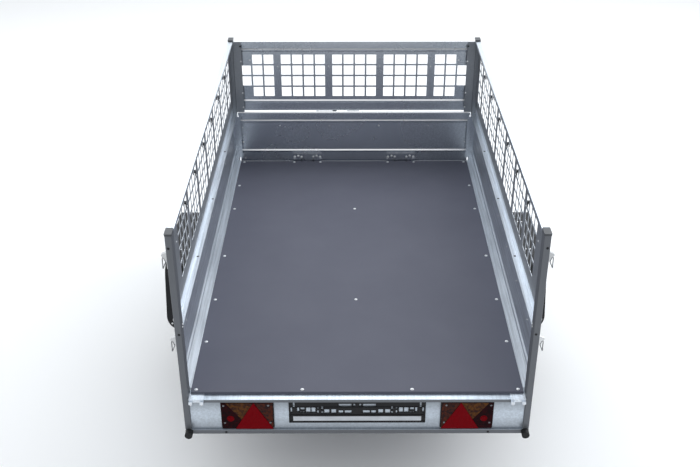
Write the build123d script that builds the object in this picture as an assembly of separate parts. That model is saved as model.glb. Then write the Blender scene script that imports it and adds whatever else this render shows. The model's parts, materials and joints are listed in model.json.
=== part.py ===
"""Single-axle utility trailer with mesh side extensions, in millimetres.

X = 0 is the plane of symmetry (+X is the right-hand side seen from behind), +Y points to the
drawbar, +Z is up and Z = 0 is the ground. Y = 0 is halfway along the trailer.
"""
from build123d import *
from math import atan2, cos, degrees, hypot, radians, tan
import os

# ---------------------------------------------------------------- driving dimensions
# Bed, over the corner posts
bed_width = 1330.0
bed_length = 2090.0
sheet = 2.0                    # galvanised sheet of boards and profiles
frame_wall = 2.5               # wall of the frame's folded sections
seat_gap = 0.3                 # clearance between pieces that are bolted together

# Corner posts
post_width = 25.0              # across the bed
post_depth = 46.0              # along the bed
post_drop_rear = 166.0         # below the floor's top
post_drop_front = 71.0
post_joint_height = 290.0      # top of the lower posts above the floor
cap_height = 8.0
cap_overhang = 1.2
corner_radius = 4.0

# Floor
floor_thickness = 11.0
floor_setback = 25.0           # from the rear posts' outer faces
floor_side_gap = 30.5          # from the posts' outer faces, at the sides

# Low boards
low_board_height = 295.0       # top flange above the floor
rim_drop = 15.0                # inner lip under every board's top flange
bead_depth = 6.0
bead_height = 16.0
bead_crown_share = 0.2         # flat crown against the whole bead
bead_low_z = 60.0              # middle of the lower bead above the floor
bead_high_z = 239.0

# Mesh boards
side_mesh_foot_gap = 1.5       # above the low side's top flange
front_mesh_foot_gap = 7.0      # room for the low board below to swing out
mesh_top_height = 698.5        # of the boards and their posts
mesh_pitch = 61.0
mesh_hole = 51.5
mesh_group = 4                 # holes in a group, each way
mesh_group_pitch = 274.5
mesh_rows_drop = 78.5          # from the boards' top down to the uppermost holes
mesh_bead_low_rise = 62.0      # middle of the lower bead above the low boards' top
mesh_bead_high_drop = 52.5     # middle of the upper bead below the mesh boards' top
side_mesh_first_gap = 210.0    # first group of holes, from the bed's rear
side_mesh_end_margin = 12.0
front_strip_width = 42.0       # rear-facing strip of the front upper posts
front_board_side_gap = 5.0
front_board_depth = 25.0
front_board_setback = 22.0     # from the bed's front to the boards' outer face
front_board_bottom = -4.0      # above the floor
front_board_floor_gap = 8.0    # between the floor's front edge and the board's plates
front_stop_width = 18.0        # strips on the front posts that the low board closes against
front_stop_gap = 5.0
front_stop_foot = 32.0         # above the floor, over the sloping strip of the side
front_stop_top = 276.0

# Frame under the floor
frame_height = 60.0
side_member_width = 54.0
cross_member_width = 40.0
cross_member_ys = (346.0, 655.0, 1023.0, 1488.0, 1750.0)   # from the bed's rear

# Rear cross-member, which carries the lamps
sill_overhang = 8.0
sill_lip = 12.0
lamp_panel_setback = 8.0
lamp_panel_bottom = 166.0      # below the floor's top
lamp_panel_foot = 20.0

# Lamps and number plate holder
lamp_width = 203.0
lamp_height = 130.0
lamp_base_depth = 7.0
lamp_inner_x = 319.0
lamp_top = 26.0                # below the floor's top
plate_width = 524.0
plate_height = 99.0
plate_depth = 6.0
plate_top = 27.0

# Rubber buffers at the rear corners
buffer_diameter = 30.0
buffer_length = 25.0

# Tailgate hinge brackets left on the rear sill
tail_hinge_width = 56.0
tail_hinge_side_gap = 27.0     # from the bed's side
tail_hinge_ear = 14.0
tail_hinge_plate = 2.5
tail_hinge_bore = 4.0          # radius

# Front board hinges
front_hinge_x = 262.0
front_hinge_width = 158.0
front_hinge_plate = 3.0
hinge_pin_radius = 3.9
hinge_clearance = 0.1          # radial
knuckle_radius = 7.5
knuckle_length = 20.0
knuckle_spacing = 66.0
hinge_axis_setback = 12.0      # from the bed's front
hinge_axis_height = 9.0        # above the floor's top
board_plate_top = 44.0         # strengthening plates inside the board, above the floor

# Latches
latch_plate_height = 62.0
latch_plate_width = 24.0
latch_plate_depth = 3.0
latch_lever_height = 40.0
latch_lever_width = 14.0
latch_lever_depth = 11.0
latch_low_z = 202.0            # foot of the latches above the floor
latch_high_z = 562.0
bail_wire = 2.2                # radius
bail_length = 42.0
bail_lean = 6.0

# Wheels, axle and hubs
tyre_radius = 274.0
tyre_width = 150.0
tyre_shoulder = 14.0           # crown above the shoulders
tyre_tread_inset = 22.0        # tread's edge from the side wall
tyre_bulge = 42.0              # widest part above the rim
tyre_bulge_height = 20.0
tyre_foot_inset = 14.0
rim_radius = 165.0
rim_inset = 8.0                # rim's edge inside the tyre's side
rim_flange = 3.0
rim_well = 22.0
rim_well_share = 0.6           # half the well's width against half the rim's
rim_seat_share = 0.7
rim_metal = 4.0
disc_seat_radius = 70.0
disc_crown_radius = 88.0
disc_crown = 14.0
disc_foot_drop = 8.0
disc_hole_count = 10
disc_hole_radius = 12.0
disc_hole_circle = 116.0       # radius of the circle that the holes stand on
wheel_side_gap = 12.0          # between tyre and side board
wheel_offset = 30.0
axle_from_rear = 1045.0
floor_above_axle = 235.0
axle_tube = 60.0
axle_arm_run = 140.0           # the hub trails the axle tube by this
axle_arm_drop = 70.0
axle_arm_thickness = 26.0
axle_tube_end_x = 560.0
hub_flange_radius = 66.0
hub_flange = 10.0
hub_barrel_radius = 31.0
hub_barrel_length = 62.0
hub_nose = 24.0                # the barrel passes through the wheel's disc
stub_radius = 15.0
stub_clearance = 0.05          # radial
stub_end_gap = 6.0
wheel_bore_gap = 0.5
axle_pad_length = 120.0

# Mudguards
mudguard_tyre_gap = 92.0       # over the tread, to the guard's outside
mudguard_rear_gap = 119.0      # behind the tread, at the rear end
mudguard_front_gap = 73.0
mudguard_thickness = 3.0
mudguard_cover = 11.0          # beyond the tyre's outer side
mudguard_end_rise = 78.0       # ends above the axle's centre
mudguard_end_round = 60.0      # outer corner of each end
mudguard_rear_lean = 80.0      # the rear corner is this far ahead of the rear end
mudguard_rear_fall = 14.0      # from the top's middle to the rear corner
mudguard_top_half = 181.0      # half the level length of the top
mudguard_front_knee = 215.0
mudguard_round = 60.0
mudguard_front_round = 110.0
mudguard_flange = 38.0
mudguard_lip = 14.0

# Drawbar and coupling
drawbar_reach = 1000.0         # from the bed's front to the coupling's nose
drawbar_height = 60.0
drawbar_width = 40.0
drawbar_wall = 3.0
drawbar_rear_x = 530.0
drawbar_rear_y = 990.0         # from the bed's rear
drawbar_front_x = 48.0
coupling_overhang = 160.0      # of the nose beyond the beams' tips
nose_plate = 5.0
nose_plate_length = 190.0
coupling_width = 64.0
coupling_height = 38.0
coupling_wall = 4.0
grip_rise = 4.0
grip_thickness = 8.0
grip_width = 18.0
grip_length = 118.0
ball_radius = 25.0
ball_clearance = 0.5
socket_depth = 22.0
socket_from_nose = 36.0

# Jockey wheel
jockey_ahead = 400.0           # from the bed's front
jockey_side_gap = 12.0
jockey_tube_radius = 24.0
jockey_tube_wall = 3.0
jockey_tube_top = 95.0         # above the floor's top
jockey_tube_length = 280.0
jockey_travel = 105.0          # the stem retracts by this
jockey_stem_clearance = 0.1    # radial
jockey_end_gap = 5.0
jockey_crank_hub = 18.0
jockey_crank_reach = 110.0
jockey_crank_thickness = 7.0
jockey_grip_radius = 9.0
jockey_grip_length = 58.0
jockey_swivel_radius = 9.0
jockey_washer_radius = 16.0
jockey_washer = 4.0
jockey_wheel_radius = 100.0
jockey_wheel_width = 50.0
jockey_trail = 40.0
jockey_fork_gap = 6.0
jockey_fork_plate = 5.0
jockey_fork_width = 44.0
jockey_pin_radius = 8.0
jockey_tread_rounding = 6.0
jockey_recess_depth = 12.0     # in both sides of the wheel, between its hub and its tread
jockey_hub_radius = 24.0
jockey_recess_radius = 70.0
jockey_clamp_height = 46.0
jockey_clamp_wall = 7.0

# Lamp lenses, seen from behind
lens_depth = 9.0
lens_gap = 0.6                 # between neighbouring lenses
lens_edge = 3.0                # of the base showing round the lenses
amber_outer = 183.0            # outer top corner of the amber lens, from the lamp's inner end
amber_foot = 47.0              # height of the amber lens's lower corner above the lamp's foot
reflector_side = 146.0         # of the triangular reflector
reflector_depth = 11.0

# ---------------------------------------------------------------- derived places
outer_x = bed_width / 2
inner_x = outer_x - post_width
axle_z = tyre_radius
floor_z = axle_z + floor_above_axle
overall_length = buffer_length + bed_length + drawbar_reach
rear_y = buffer_length - overall_length / 2
front_y = rear_y + bed_length
axle_y = rear_y + axle_from_rear
floor_x = outer_x - floor_side_gap
floor_under_z = floor_z - floor_thickness
frame_under_z = floor_under_z - frame_height
low_top_z = floor_z + low_board_height
mesh_top_z = floor_z + mesh_top_height
mesh_bead_low_z = low_top_z + mesh_bead_low_rise
mesh_bead_high_z = mesh_top_z - mesh_bead_high_drop
mesh_rows_top_z = mesh_top_z - mesh_rows_drop
mesh_rows = int((mesh_rows_top_z - mesh_bead_low_z - bead_height / 2) / mesh_pitch)
side_mesh_foot_z = low_top_z + side_mesh_foot_gap
front_mesh_foot_z = low_top_z + front_mesh_foot_gap
board_y = front_y - front_board_setback          # outer face of the front boards
board_inner_y = board_y - front_board_depth
drawbar_top_z = frame_under_z
drawbar_under_z = drawbar_top_z - drawbar_height
wheel_x = outer_x + wheel_side_gap + tyre_width / 2
hub_face_x = wheel_x + wheel_offset
hinge_y = front_y - hinge_axis_setback
hinge_z = floor_z + hinge_axis_height
mudguard_outer_x = wheel_x + tyre_width / 2 + mudguard_cover
side_start_y = rear_y + post_depth
side_end_y = front_y - post_depth

parts = {}


# ---------------------------------------------------------------- helpers
def block(x0, x1, y0, y1, z0, z1):
    """A box from its least and greatest corner."""
    return Pos((x0 + x1) / 2, (y0 + y1) / 2, (z0 + z1) / 2) * Box(abs(x1 - x0), abs(y1 - y0), abs(z1 - z0))


def rod(centre, radius, length, axis="X"):
    """A cylinder about a row axis, centred at a point."""
    turn = {"X": Rot(0, 90, 0), "Y": Rot(90, 0, 0), "Z": Rot(0, 0, 0)}[axis]
    return Pos(*centre) * turn * Cylinder(radius, length)


def folded(points, thickness):
    """Corners of a folded sheet's section: the given bend line and its copy to the left."""
    left = []
    for i, (px, py) in enumerate(points):
        normals = []
        for a, b in ((i - 1, i), (i, i + 1)):
            if a >= 0 and b < len(points):
                dx = points[b][0] - points[a][0]
                dy = points[b][1] - points[a][1]
                length = hypot(dx, dy)
                normals.append((-dy / length, dx / length))
        nx = sum(n[0] for n in normals)
        ny = sum(n[1] for n in normals)
        scale = thickness / ((nx * nx + ny * ny) / len(normals))
        left.append((px + nx * scale, py + ny * scale))
    return points + left[::-1]


def along_y(corners, y0, y1):
    """Extrudes a section given as (x, z) corners from y0 to y1."""
    section = Plane.XZ * make_face(Polyline(*corners, close=True))
    return Pos(0, y1, 0) * extrude(section, amount=y1 - y0)


def along_x(corners, x0, x1):
    """Extrudes a section given as (y, z) corners from x0 to x1."""
    section = Plane.YZ * make_face(Polyline(*corners, close=True))
    return Pos(x0, 0, 0) * extrude(section, amount=x1 - x0)


def both_sides(name, right_solid):
    """Stores a right-hand piece and its mirror image."""
    parts[name + "_right"] = right_solid
    parts[name + "_left"] = mirror(right_solid, about=Plane.YZ)


def hole_grid(starts, rows):
    """Flat squares of the mesh: starts are the columns' near edges, rows the holes' tops."""
    squares = []
    for start, row_numbers in starts:
        for row in row_numbers:
            middle = rows - row * mesh_pitch - mesh_hole / 2
            squares.append(Pos(start + mesh_hole / 2, middle) * Rectangle(mesh_hole, mesh_hole))
    return squares


def bead_line(plane, z, inward):
    """Bend points of a pressed bead in an upright sheet whose outer face lies in a plane."""
    half = bead_height / 2
    crown = half * bead_crown_share
    pressed = plane + inward * bead_depth
    return [(plane, z + half), (pressed, z + crown), (pressed, z - crown), (plane, z - half)]


# ---------------------------------------------------------------- floor and frame
def make_floor():
    parts["floor_panel"] = block(
        -floor_x, floor_x, rear_y + floor_setback, board_y - 2 * sheet - front_board_floor_gap,
        floor_under_z, floor_z)


def make_side_members():
    outer = outer_x - sheet
    inner = outer - side_member_width
    channel = folded(
        [(inner, floor_under_z), (outer, floor_under_z), (outer, frame_under_z), (inner, frame_under_z)],
        -frame_wall)
    both_sides("side_member", along_y(channel, side_start_y, side_end_y))


def make_cross_members():
    inner = outer_x - sheet - side_member_width
    members = []
    for distance in cross_member_ys:
        y = rear_y + distance - cross_member_width / 2
        channel = folded(
            [(y + cross_member_width, floor_under_z), (y, floor_under_z),
             (y, frame_under_z), (y + cross_member_width, frame_under_z)],
            frame_wall)
        members.append(along_x(channel, -inner, inner))
    parts["cross_members"] = Compound(children=members)


def make_rear_cross_member():
    top = floor_under_z
    lip = rear_y - sill_overhang
    panel = rear_y + lamp_panel_setback
    bottom = floor_z - lamp_panel_bottom
    section = folded(
        [(side_start_y, top), (lip, top), (lip, top - sill_lip - sheet), (panel, top - sill_lip - sheet),
         (panel, bottom), (rear_y, bottom), (rear_y, bottom - lamp_panel_foot)],
        sheet)
    web = along_x(section, -inner_x, inner_x)
    foot = block(-outer_x, outer_x, rear_y, rear_y + sheet, bottom - lamp_panel_foot, bottom - sheet)
    parts["rear_cross_member"] = web + foot


def make_front_cross_member():
    channel = folded(
        [(side_end_y, floor_under_z), (front_y - sheet, floor_under_z),
         (front_y - sheet, frame_under_z), (side_end_y, frame_under_z)],
        -frame_wall)
    parts["front_cross_member"] = along_x(channel, -inner_x, inner_x)


# ---------------------------------------------------------------- posts and boards
def post(y0, z0, z1):
    """A hollow corner post of the right-hand side, with rounded upright edges."""
    middle_x = outer_x - post_width / 2
    outline = RectangleRounded(post_width, post_depth, corner_radius)
    hollow = Rectangle(post_width - 2 * frame_wall, post_depth - 2 * frame_wall)
    return Pos(middle_x, y0 + post_depth / 2, z0) * extrude(outline - hollow, amount=z1 - z0)


def make_lower_posts():
    """The rear posts, and the front posts with the strips that the low front board closes against."""
    both_sides("rear_post", post(rear_y, floor_z - post_drop_rear, floor_z + post_joint_height))
    front = post(side_end_y, floor_z - post_drop_front, floor_z + post_joint_height)
    stop_y = board_inner_y - front_stop_gap - sheet
    stop_x = inner_x - front_stop_width
    foot = floor_z + front_stop_foot
    top = floor_z + front_stop_top
    front += block(stop_x, inner_x + sheet, stop_y, stop_y + sheet, foot, top)
    front += block(inner_x, inner_x + sheet, stop_y, side_end_y + sheet, foot, top)
    both_sides("front_post", front)


def make_low_sides():
    foot_x = floor_x + sheet
    section = folded(
        [(inner_x, low_top_z - rim_drop), (inner_x, low_top_z), (outer_x, low_top_z)]
        + bead_line(outer_x, floor_z + bead_low_z, -1)
        + [(outer_x, floor_z + outer_x - foot_x), (foot_x, floor_z), (foot_x, floor_under_z)],
        -sheet)
    both_sides("low_side", along_y(section, side_start_y, side_end_y))


def side_mesh_starts():
    """Near edges of the side mesh's columns, each with its row numbers."""
    group_width = (mesh_group - 1) * mesh_pitch + mesh_hole
    first = rear_y + side_mesh_first_gap + (mesh_group_pitch - group_width) / 2
    starts = []
    for group in range(int(bed_length / mesh_group_pitch)):
        for column in range(mesh_group):
            start = first + group * mesh_group_pitch + column * mesh_pitch
            if start + mesh_hole < side_end_y - side_mesh_end_margin:
                starts.append((start, range(mesh_rows)))
    return starts


def make_mesh_sides():
    length = side_end_y - side_start_y
    height = mesh_top_z - side_mesh_foot_z
    middle = ((side_start_y + side_end_y) / 2, (mesh_top_z + side_mesh_foot_z) / 2)
    squares = hole_grid(side_mesh_starts(), mesh_rows_top_z)
    blank = Pos(*middle) * Rectangle(length, height)
    board = Pos(outer_x - sheet, 0, 0) * extrude(Plane.YZ * (blank - squares), amount=sheet)
    rim = folded(
        [(inner_x, mesh_top_z - rim_drop), (inner_x, mesh_top_z), (outer_x, mesh_top_z),
         (outer_x, mesh_top_z - rim_drop)],
        -sheet)
    board += along_y(rim, side_start_y, side_end_y)
    for y0 in (rear_y, side_end_y):
        board += post(y0, floor_z + post_joint_height, mesh_top_z)
    strip_y = board_inner_y - sheet - seat_gap
    board += block(inner_x - front_strip_width, inner_x, strip_y, strip_y + sheet, front_mesh_foot_z,
                   mesh_top_z)
    board += block(inner_x - sheet, inner_x, strip_y, side_end_y + sheet, front_mesh_foot_z, mesh_top_z)
    both_sides("mesh_side", board)


def make_post_caps():
    """Plastic caps on the four upper posts."""
    caps = []
    top = mesh_top_z
    for side in (-1, 1):
        for y0 in (rear_y, side_end_y):
            plan = RectangleRounded(
                post_width + 2 * cap_overhang, post_depth + 2 * cap_overhang, corner_radius)
            place = Pos(side * (outer_x - post_width / 2), y0 + post_depth / 2, top)
            caps.append(place * extrude(plan, amount=cap_height))
    parts["post_caps"] = Compound(children=caps)


def front_mesh_columns():
    """Near edges of the front mesh's columns and the rows that each one has."""
    group_width = (mesh_group - 1) * mesh_pitch + mesh_hole
    columns = []
    for group in range(-2, 3):
        for column in range(mesh_group):
            start = group * mesh_group_pitch - group_width / 2 + column * mesh_pitch
            reach = max(abs(start), abs(start + mesh_hole))
            if reach < inner_x - front_strip_width + mesh_pitch / 2:
                full = reach < inner_x - 2 * front_strip_width
                columns.append((start, range(mesh_rows) if full else range(1, mesh_rows - 1)))
    return columns


def make_front_mesh():
    half = inner_x - front_board_side_gap
    height = mesh_top_z - front_mesh_foot_z
    squares = hole_grid(front_mesh_columns(), mesh_rows_top_z)
    blank = Pos(0, (mesh_top_z + front_mesh_foot_z) / 2) * Rectangle(2 * half, height)
    board = Pos(0, board_y, 0) * extrude(Plane.XZ * (blank - squares), amount=sheet)
    rim = folded(
        [(board_inner_y, mesh_top_z - rim_drop), (board_inner_y, mesh_top_z), (board_y, mesh_top_z),
         (board_y, mesh_top_z - rim_drop)],
        -sheet)
    board += along_x(rim, -half, half)
    for bead_z in (mesh_bead_low_z, mesh_bead_high_z):
        ridge = folded(bead_line(board_y, bead_z, -1), -sheet)
        board -= block(-half, half, board_y - sheet, board_y, bead_z - bead_height / 2,
                       bead_z + bead_height / 2)
        board += along_x(ridge, -half, half)
    parts["front_mesh_board"] = board


def make_front_board():
    """The low front board, which hinges forward, with its hinge barrels and strengthening plates."""
    half = inner_x - front_board_side_gap
    bottom = floor_z + front_board_bottom
    section = folded(
        [(board_inner_y, low_top_z - rim_drop), (board_inner_y, low_top_z), (board_y, low_top_z)]
        + bead_line(board_y, floor_z + bead_high_z, -1)
        + bead_line(board_y, floor_z + bead_low_z, -1)
        + [(board_y, bottom)],
        -sheet)
    board = along_x(section, -half, half)
    barrel_length = knuckle_spacing - knuckle_length - 2 * seat_gap
    leaf_top = floor_z + board_plate_top
    for side in (-1, 1):
        x = side * front_hinge_x
        barrel = rod((x, hinge_y, hinge_z), knuckle_radius, barrel_length)
        leaf_left = x - barrel_length / 2
        leaf_right = x + barrel_length / 2
        leaf_foot = hinge_z + knuckle_radius - front_hinge_plate
        barrel += block(leaf_left, leaf_right, board_y, hinge_y, leaf_foot, hinge_z + knuckle_radius)
        barrel += block(leaf_left, leaf_right, board_y, board_y + front_hinge_plate, leaf_foot, leaf_top)
        barrel -= rod((x, hinge_y, hinge_z), hinge_pin_radius + hinge_clearance, bed_width)
        board += barrel
        board += block(x - front_hinge_width / 2, x + front_hinge_width / 2, board_y - 2 * sheet,
                       board_y - sheet, bottom, leaf_top)
    parts["front_board"] = board


def make_front_hinges():
    """Fixed leaves on the front cross-member, each with two knuckles and a pin."""
    hinges = []
    for side in (-1, 1):
        x = side * front_hinge_x
        base_top = floor_under_z + front_hinge_plate
        hinge = block(x - front_hinge_width / 2, x + front_hinge_width / 2, hinge_y - knuckle_radius,
                      hinge_y + knuckle_radius, floor_under_z, base_top)
        hinge += rod((x, hinge_y, hinge_z), hinge_pin_radius, knuckle_spacing + knuckle_length)
        for end in (-1, 1):
            knuckle_x = x + end * knuckle_spacing / 2
            hinge += rod((knuckle_x, hinge_y, hinge_z), knuckle_radius, knuckle_length)
            hinge += block(knuckle_x - knuckle_length / 2, knuckle_x + knuckle_length / 2,
                           hinge_y - knuckle_radius, hinge_y + knuckle_radius, base_top, hinge_z)
        hinges.append(hinge)
    parts["front_hinges"] = Compound(children=hinges)


def latch(side, y, z0):
    """An over-centre latch on a post's outer face: plate, lever and wire bail."""
    face = side * outer_x
    plate_x = face + side * latch_plate_depth
    lever_x = plate_x + side * latch_lever_depth
    top = z0 + latch_plate_height
    solid = block(face, plate_x, y - latch_plate_width / 2, y + latch_plate_width / 2, z0, top)
    solid += block(plate_x, lever_x, y - latch_lever_width / 2, y + latch_lever_width / 2,
                   top - latch_lever_height, top)
    bail_top = Vector(lever_x, y, top - latch_lever_height / 2)
    bail_foot = bail_top + Vector(side * bail_lean, 0, -bail_length)
    hook = Vector(plate_x, y, bail_foot.Z)
    path = Polyline(bail_top, bail_foot, hook)
    section = Plane(origin=bail_top, z_dir=bail_foot - bail_top) * Circle(bail_wire)
    return solid + sweep(section, path=path, transition=Transition.RIGHT)


def make_latches():
    latches = []
    for side in (-1, 1):
        for y in (rear_y + post_depth / 2, front_y - post_depth / 2):
            for height in (latch_low_z, latch_high_z):
                latches.append(latch(side, y, floor_z + height))
    parts["board_latches"] = Compound(children=latches)


# ---------------------------------------------------------------- rear fittings
def lamp_faces():
    """Outlines of the right-hand lamp's reflector and lenses, from its inner lower corner."""
    foot = lens_edge
    top = lamp_height - lens_edge
    outer = lamp_width - lens_edge
    slope = tan(radians(60.0))
    near = lens_edge
    far = near + reflector_side
    rise = top - foot
    apex_near = near + rise / slope
    apex_far = far - rise / slope
    meet = far - (amber_foot - foot) / slope
    return {
        "lamp_reflectors": [(near, foot), (far, foot), (apex_far, top), (apex_near, top)],
        "clear_lenses": [(near, foot), (apex_near, top), (near, top)],
        "amber_lenses": [(apex_far, top), (meet, amber_foot), (amber_outer, top)],
        "red_lenses": [(far, foot), (outer, foot), (outer, top), (amber_outer, top), (meet, amber_foot)],
    }


def make_lamps():
    panel = rear_y + lamp_panel_setback
    foot_z = floor_z - lamp_top - lamp_height
    base = block(lamp_inner_x, lamp_inner_x + lamp_width, panel - lamp_base_depth, panel,
                 foot_z, foot_z + lamp_height)
    parts["lamp_bases"] = Compound(children=[base, mirror(base, about=Plane.YZ)])
    for name, corners in lamp_faces().items():
        depth = reflector_depth if name == "lamp_reflectors" else lens_depth
        outline = make_face(Polyline(*corners, close=True))
        face = offset(outline, amount=-lens_gap / 2, kind=Kind.INTERSECTION)
        place = Pos(lamp_inner_x, panel - lamp_base_depth, foot_z)
        right = place * extrude(Plane.XZ * face, amount=depth)
        parts[name] = Compound(children=[right, mirror(right, about=Plane.YZ)])


def make_plate_holder():
    panel = rear_y + lamp_panel_setback
    parts["plate_holder"] = block(-plate_width / 2, plate_width / 2, panel - plate_depth, panel,
                                  floor_z - plate_top - plate_height, floor_z - plate_top)


def make_buffers():
    buffers = []
    z = floor_z - lamp_panel_bottom - lamp_panel_foot / 2
    for side in (-1, 1):
        x = side * (outer_x - buffer_diameter / 2)
        buffers.append(rod((x, rear_y - buffer_length / 2, z), buffer_diameter / 2, buffer_length, "Y"))
    parts["rear_buffers"] = Compound(children=buffers)


def make_tail_hinges():
    """Brackets left on the sill for the tailgate, each with two bored knuckles."""
    hinges = []
    lip = rear_y - sill_overhang
    top = floor_under_z + tail_hinge_plate
    bore_y = lip - tail_hinge_ear / 2
    bore_z = floor_under_z - sill_lip
    outer = outer_x - tail_hinge_side_gap
    for side in (-1, 1):
        low, high = sorted((side * (outer - tail_hinge_width), side * outer))
        hinge = block(low, high, lip - tail_hinge_plate, rear_y + floor_setback - seat_gap, floor_under_z,
                      top)
        hinge += block(low, high, lip - tail_hinge_plate, lip, bore_z, top)
        for x in (low + tail_hinge_ear / 2, high - tail_hinge_ear / 2):
            hinge += rod((x, bore_y, bore_z), tail_hinge_ear / 2, tail_hinge_ear)
        hinge -= rod(((low + high) / 2, bore_y, bore_z), tail_hinge_bore, 2 * tail_hinge_width)
        hinges.append(hinge)
    parts["tail_hinges"] = Compound(children=hinges)


# ---------------------------------------------------------------- running gear
def make_axle():
    tube_y = axle_y + axle_arm_run
    tube_z = axle_z + axle_arm_drop
    half = axle_tube / 2
    core = half - drawbar_wall
    end_x = axle_tube_end_x
    beam = block(-end_x, end_x, tube_y - half, tube_y + half, tube_z - half, tube_z + half)
    beam -= block(-end_x, end_x, tube_y - core, tube_y + core, tube_z - core, tube_z + core)
    pad_x = drawbar_middle_x(tube_y)
    for side in (-1, 1):
        beam += block(side * pad_x - half, side * pad_x + half, tube_y - axle_pad_length / 2,
                      tube_y + axle_pad_length / 2, tube_z + half, drawbar_under_z)
    parts["axle_beam"] = beam


def make_swing_arms():
    """Trailing arms with their stub axles."""
    tube_y = axle_y + axle_arm_run
    tube_z = axle_z + axle_arm_drop
    x0 = axle_tube_end_x
    x1 = x0 + axle_arm_thickness
    eyes = [Pos(y, z) * Circle(axle_tube / 2) for y, z in ((tube_y, tube_z), (axle_y, axle_z))]
    outline = make_hull(eyes[0].edges() + eyes[1].edges())
    arm = Pos(x0, 0, 0) * extrude(Plane.YZ * outline, amount=x1 - x0)
    stub_end = hub_face_x + hub_nose - stub_end_gap
    arm += rod(((x1 + stub_end) / 2, axle_y, axle_z), stub_radius, stub_end - x1)
    both_sides("swing_arm", arm)


def make_hubs():
    """Flanged hubs that turn on the stub axles; their noses pass through the wheels' discs."""
    nose = hub_face_x + hub_nose
    hub = rod((hub_face_x - hub_flange / 2, axle_y, axle_z), hub_flange_radius, hub_flange)
    barrel_start = nose - hub_barrel_length - hub_nose
    hub += rod(((barrel_start + nose) / 2, axle_y, axle_z), hub_barrel_radius, nose - barrel_start)
    bore_end = nose - stub_end_gap / 2
    hub -= rod(((barrel_start + bore_end) / 2, axle_y, axle_z), stub_radius + stub_clearance,
               bore_end - barrel_start)
    both_sides("hub", hub)


def tyre_solid():
    """A tyre about the X axis at the origin, from its section."""
    half = tyre_width / 2
    low = rim_radius + tyre_bulge
    high = low + tyre_bulge_height
    shoulder = tyre_radius - tyre_shoulder
    quarter = [(half - tyre_foot_inset, rim_radius), (half, low), (half, high),
               (half - tyre_tread_inset / 3, shoulder), (half - tyre_tread_inset, tyre_radius)]
    left = [(-x, r) for x, r in reversed(quarter)]
    return revolve(Plane.XY * make_face(Polyline(*quarter, *left, close=True)), axis=Axis.X)


def rim_solid(disc_x):
    """A pressed wheel about the X axis: a barrel and a disc whose seat is at disc_x."""
    half = tyre_width / 2 - rim_inset
    well = half * rim_well_share
    seat = half * rim_seat_share
    floor_radius = rim_radius - rim_well
    outer = [(half, rim_radius), (seat, rim_radius - rim_flange), (well, floor_radius + rim_metal)]
    inner = [(well, floor_radius), (half, rim_radius - rim_flange)]
    barrel = outer + [(-x, r) for x, r in reversed(outer)]
    barrel += [(-x, r) for x, r in reversed(inner)] + inner
    rim = revolve(Plane.XY * make_face(Polyline(*barrel, close=True)), axis=Axis.X)
    bore = hub_barrel_radius + wheel_bore_gap
    face = [(disc_x, bore), (disc_x, disc_seat_radius), (disc_x + disc_crown, disc_crown_radius),
            (disc_x - disc_foot_drop, floor_radius + rim_metal / 2)]
    back = [(x + rim_metal, r) for x, r in reversed(face)]
    disc = revolve(Plane.XY * make_face(Polyline(*face, *back, close=True)), axis=Axis.X)
    for k in range(disc_hole_count):
        hole = rod((disc_x, disc_hole_circle, 0), disc_hole_radius, 4 * disc_crown)
        disc -= Rot(360.0 * k / disc_hole_count, 0, 0) * hole
    return rim + disc


def make_wheels():
    turn_left = Rot(0, 0, 180)
    for name, side, turn in (("right", 1, Rot(0, 0, 0)), ("left", -1, turn_left)):
        place = Pos(side * wheel_x, axle_y, axle_z) * turn
        parts["tyre_" + name] = place * tyre_solid()
        parts["rim_" + name] = place * rim_solid(wheel_offset + seat_gap)


def mudguard_outline():
    """Closed side view of the guard about the axle's centre; its lower edge is below the ends."""
    rear = -(tyre_radius + mudguard_rear_gap)
    front = tyre_radius + mudguard_front_gap
    top = tyre_radius + mudguard_tyre_gap
    rear_corner = top - mudguard_rear_fall
    lean = mudguard_rear_lean / (rear_corner - mudguard_end_rise)
    corners = [(rear - lean * (mudguard_end_rise + tyre_radius), -tyre_radius),
               (rear + mudguard_rear_lean, rear_corner), (-mudguard_top_half, top),
               (mudguard_top_half, top), (front, mudguard_front_knee), (front, -tyre_radius)]
    face = make_face(Polyline(*corners, close=True))
    face = fillet([v for v in face.vertices() if v.Y > 0 and v.X < 0], mudguard_round)
    return fillet([v for v in face.vertices() if v.Y > 0 and v.X > 0], mudguard_front_round)


def make_mudguards():
    outline = mudguard_outline()
    keep = Pos(0, mudguard_end_rise + tyre_radius) * Rectangle(4 * tyre_radius, 2 * tyre_radius)
    guard = None
    for x0, x1, depth in ((outer_x, mudguard_outer_x, mudguard_thickness),
                          (outer_x, outer_x + mudguard_thickness, mudguard_flange),
                          (mudguard_outer_x - mudguard_thickness, mudguard_outer_x, mudguard_lip)):
        ring = (outline - offset(outline, amount=-depth)) & keep
        wall = Pos(x0, axle_y, axle_z) * extrude(Plane.YZ * ring, amount=x1 - x0)
        guard = wall if guard is None else guard + wall
    end_z = axle_z + mudguard_end_rise
    round_x = mudguard_outer_x - mudguard_end_round
    length = 4 * tyre_radius
    corner = block(round_x, mudguard_outer_x + seat_gap, axle_y - length / 2, axle_y + length / 2,
                   end_z - seat_gap, end_z + mudguard_end_round)
    corner -= rod((round_x, axle_y, end_z + mudguard_end_round), mudguard_end_round, length, "Y")
    guard -= corner
    both_sides("mudguard", guard)


# ---------------------------------------------------------------- drawbar
drawbar_start_y = rear_y + drawbar_rear_y
drawbar_tip_y = front_y + drawbar_reach - coupling_overhang
drawbar_slope = (drawbar_rear_x - drawbar_front_x) / (drawbar_tip_y - drawbar_start_y)


def drawbar_middle_x(y):
    """Distance of a beam's middle line from the plane of symmetry."""
    return drawbar_front_x + drawbar_slope * (drawbar_tip_y - y)


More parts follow.
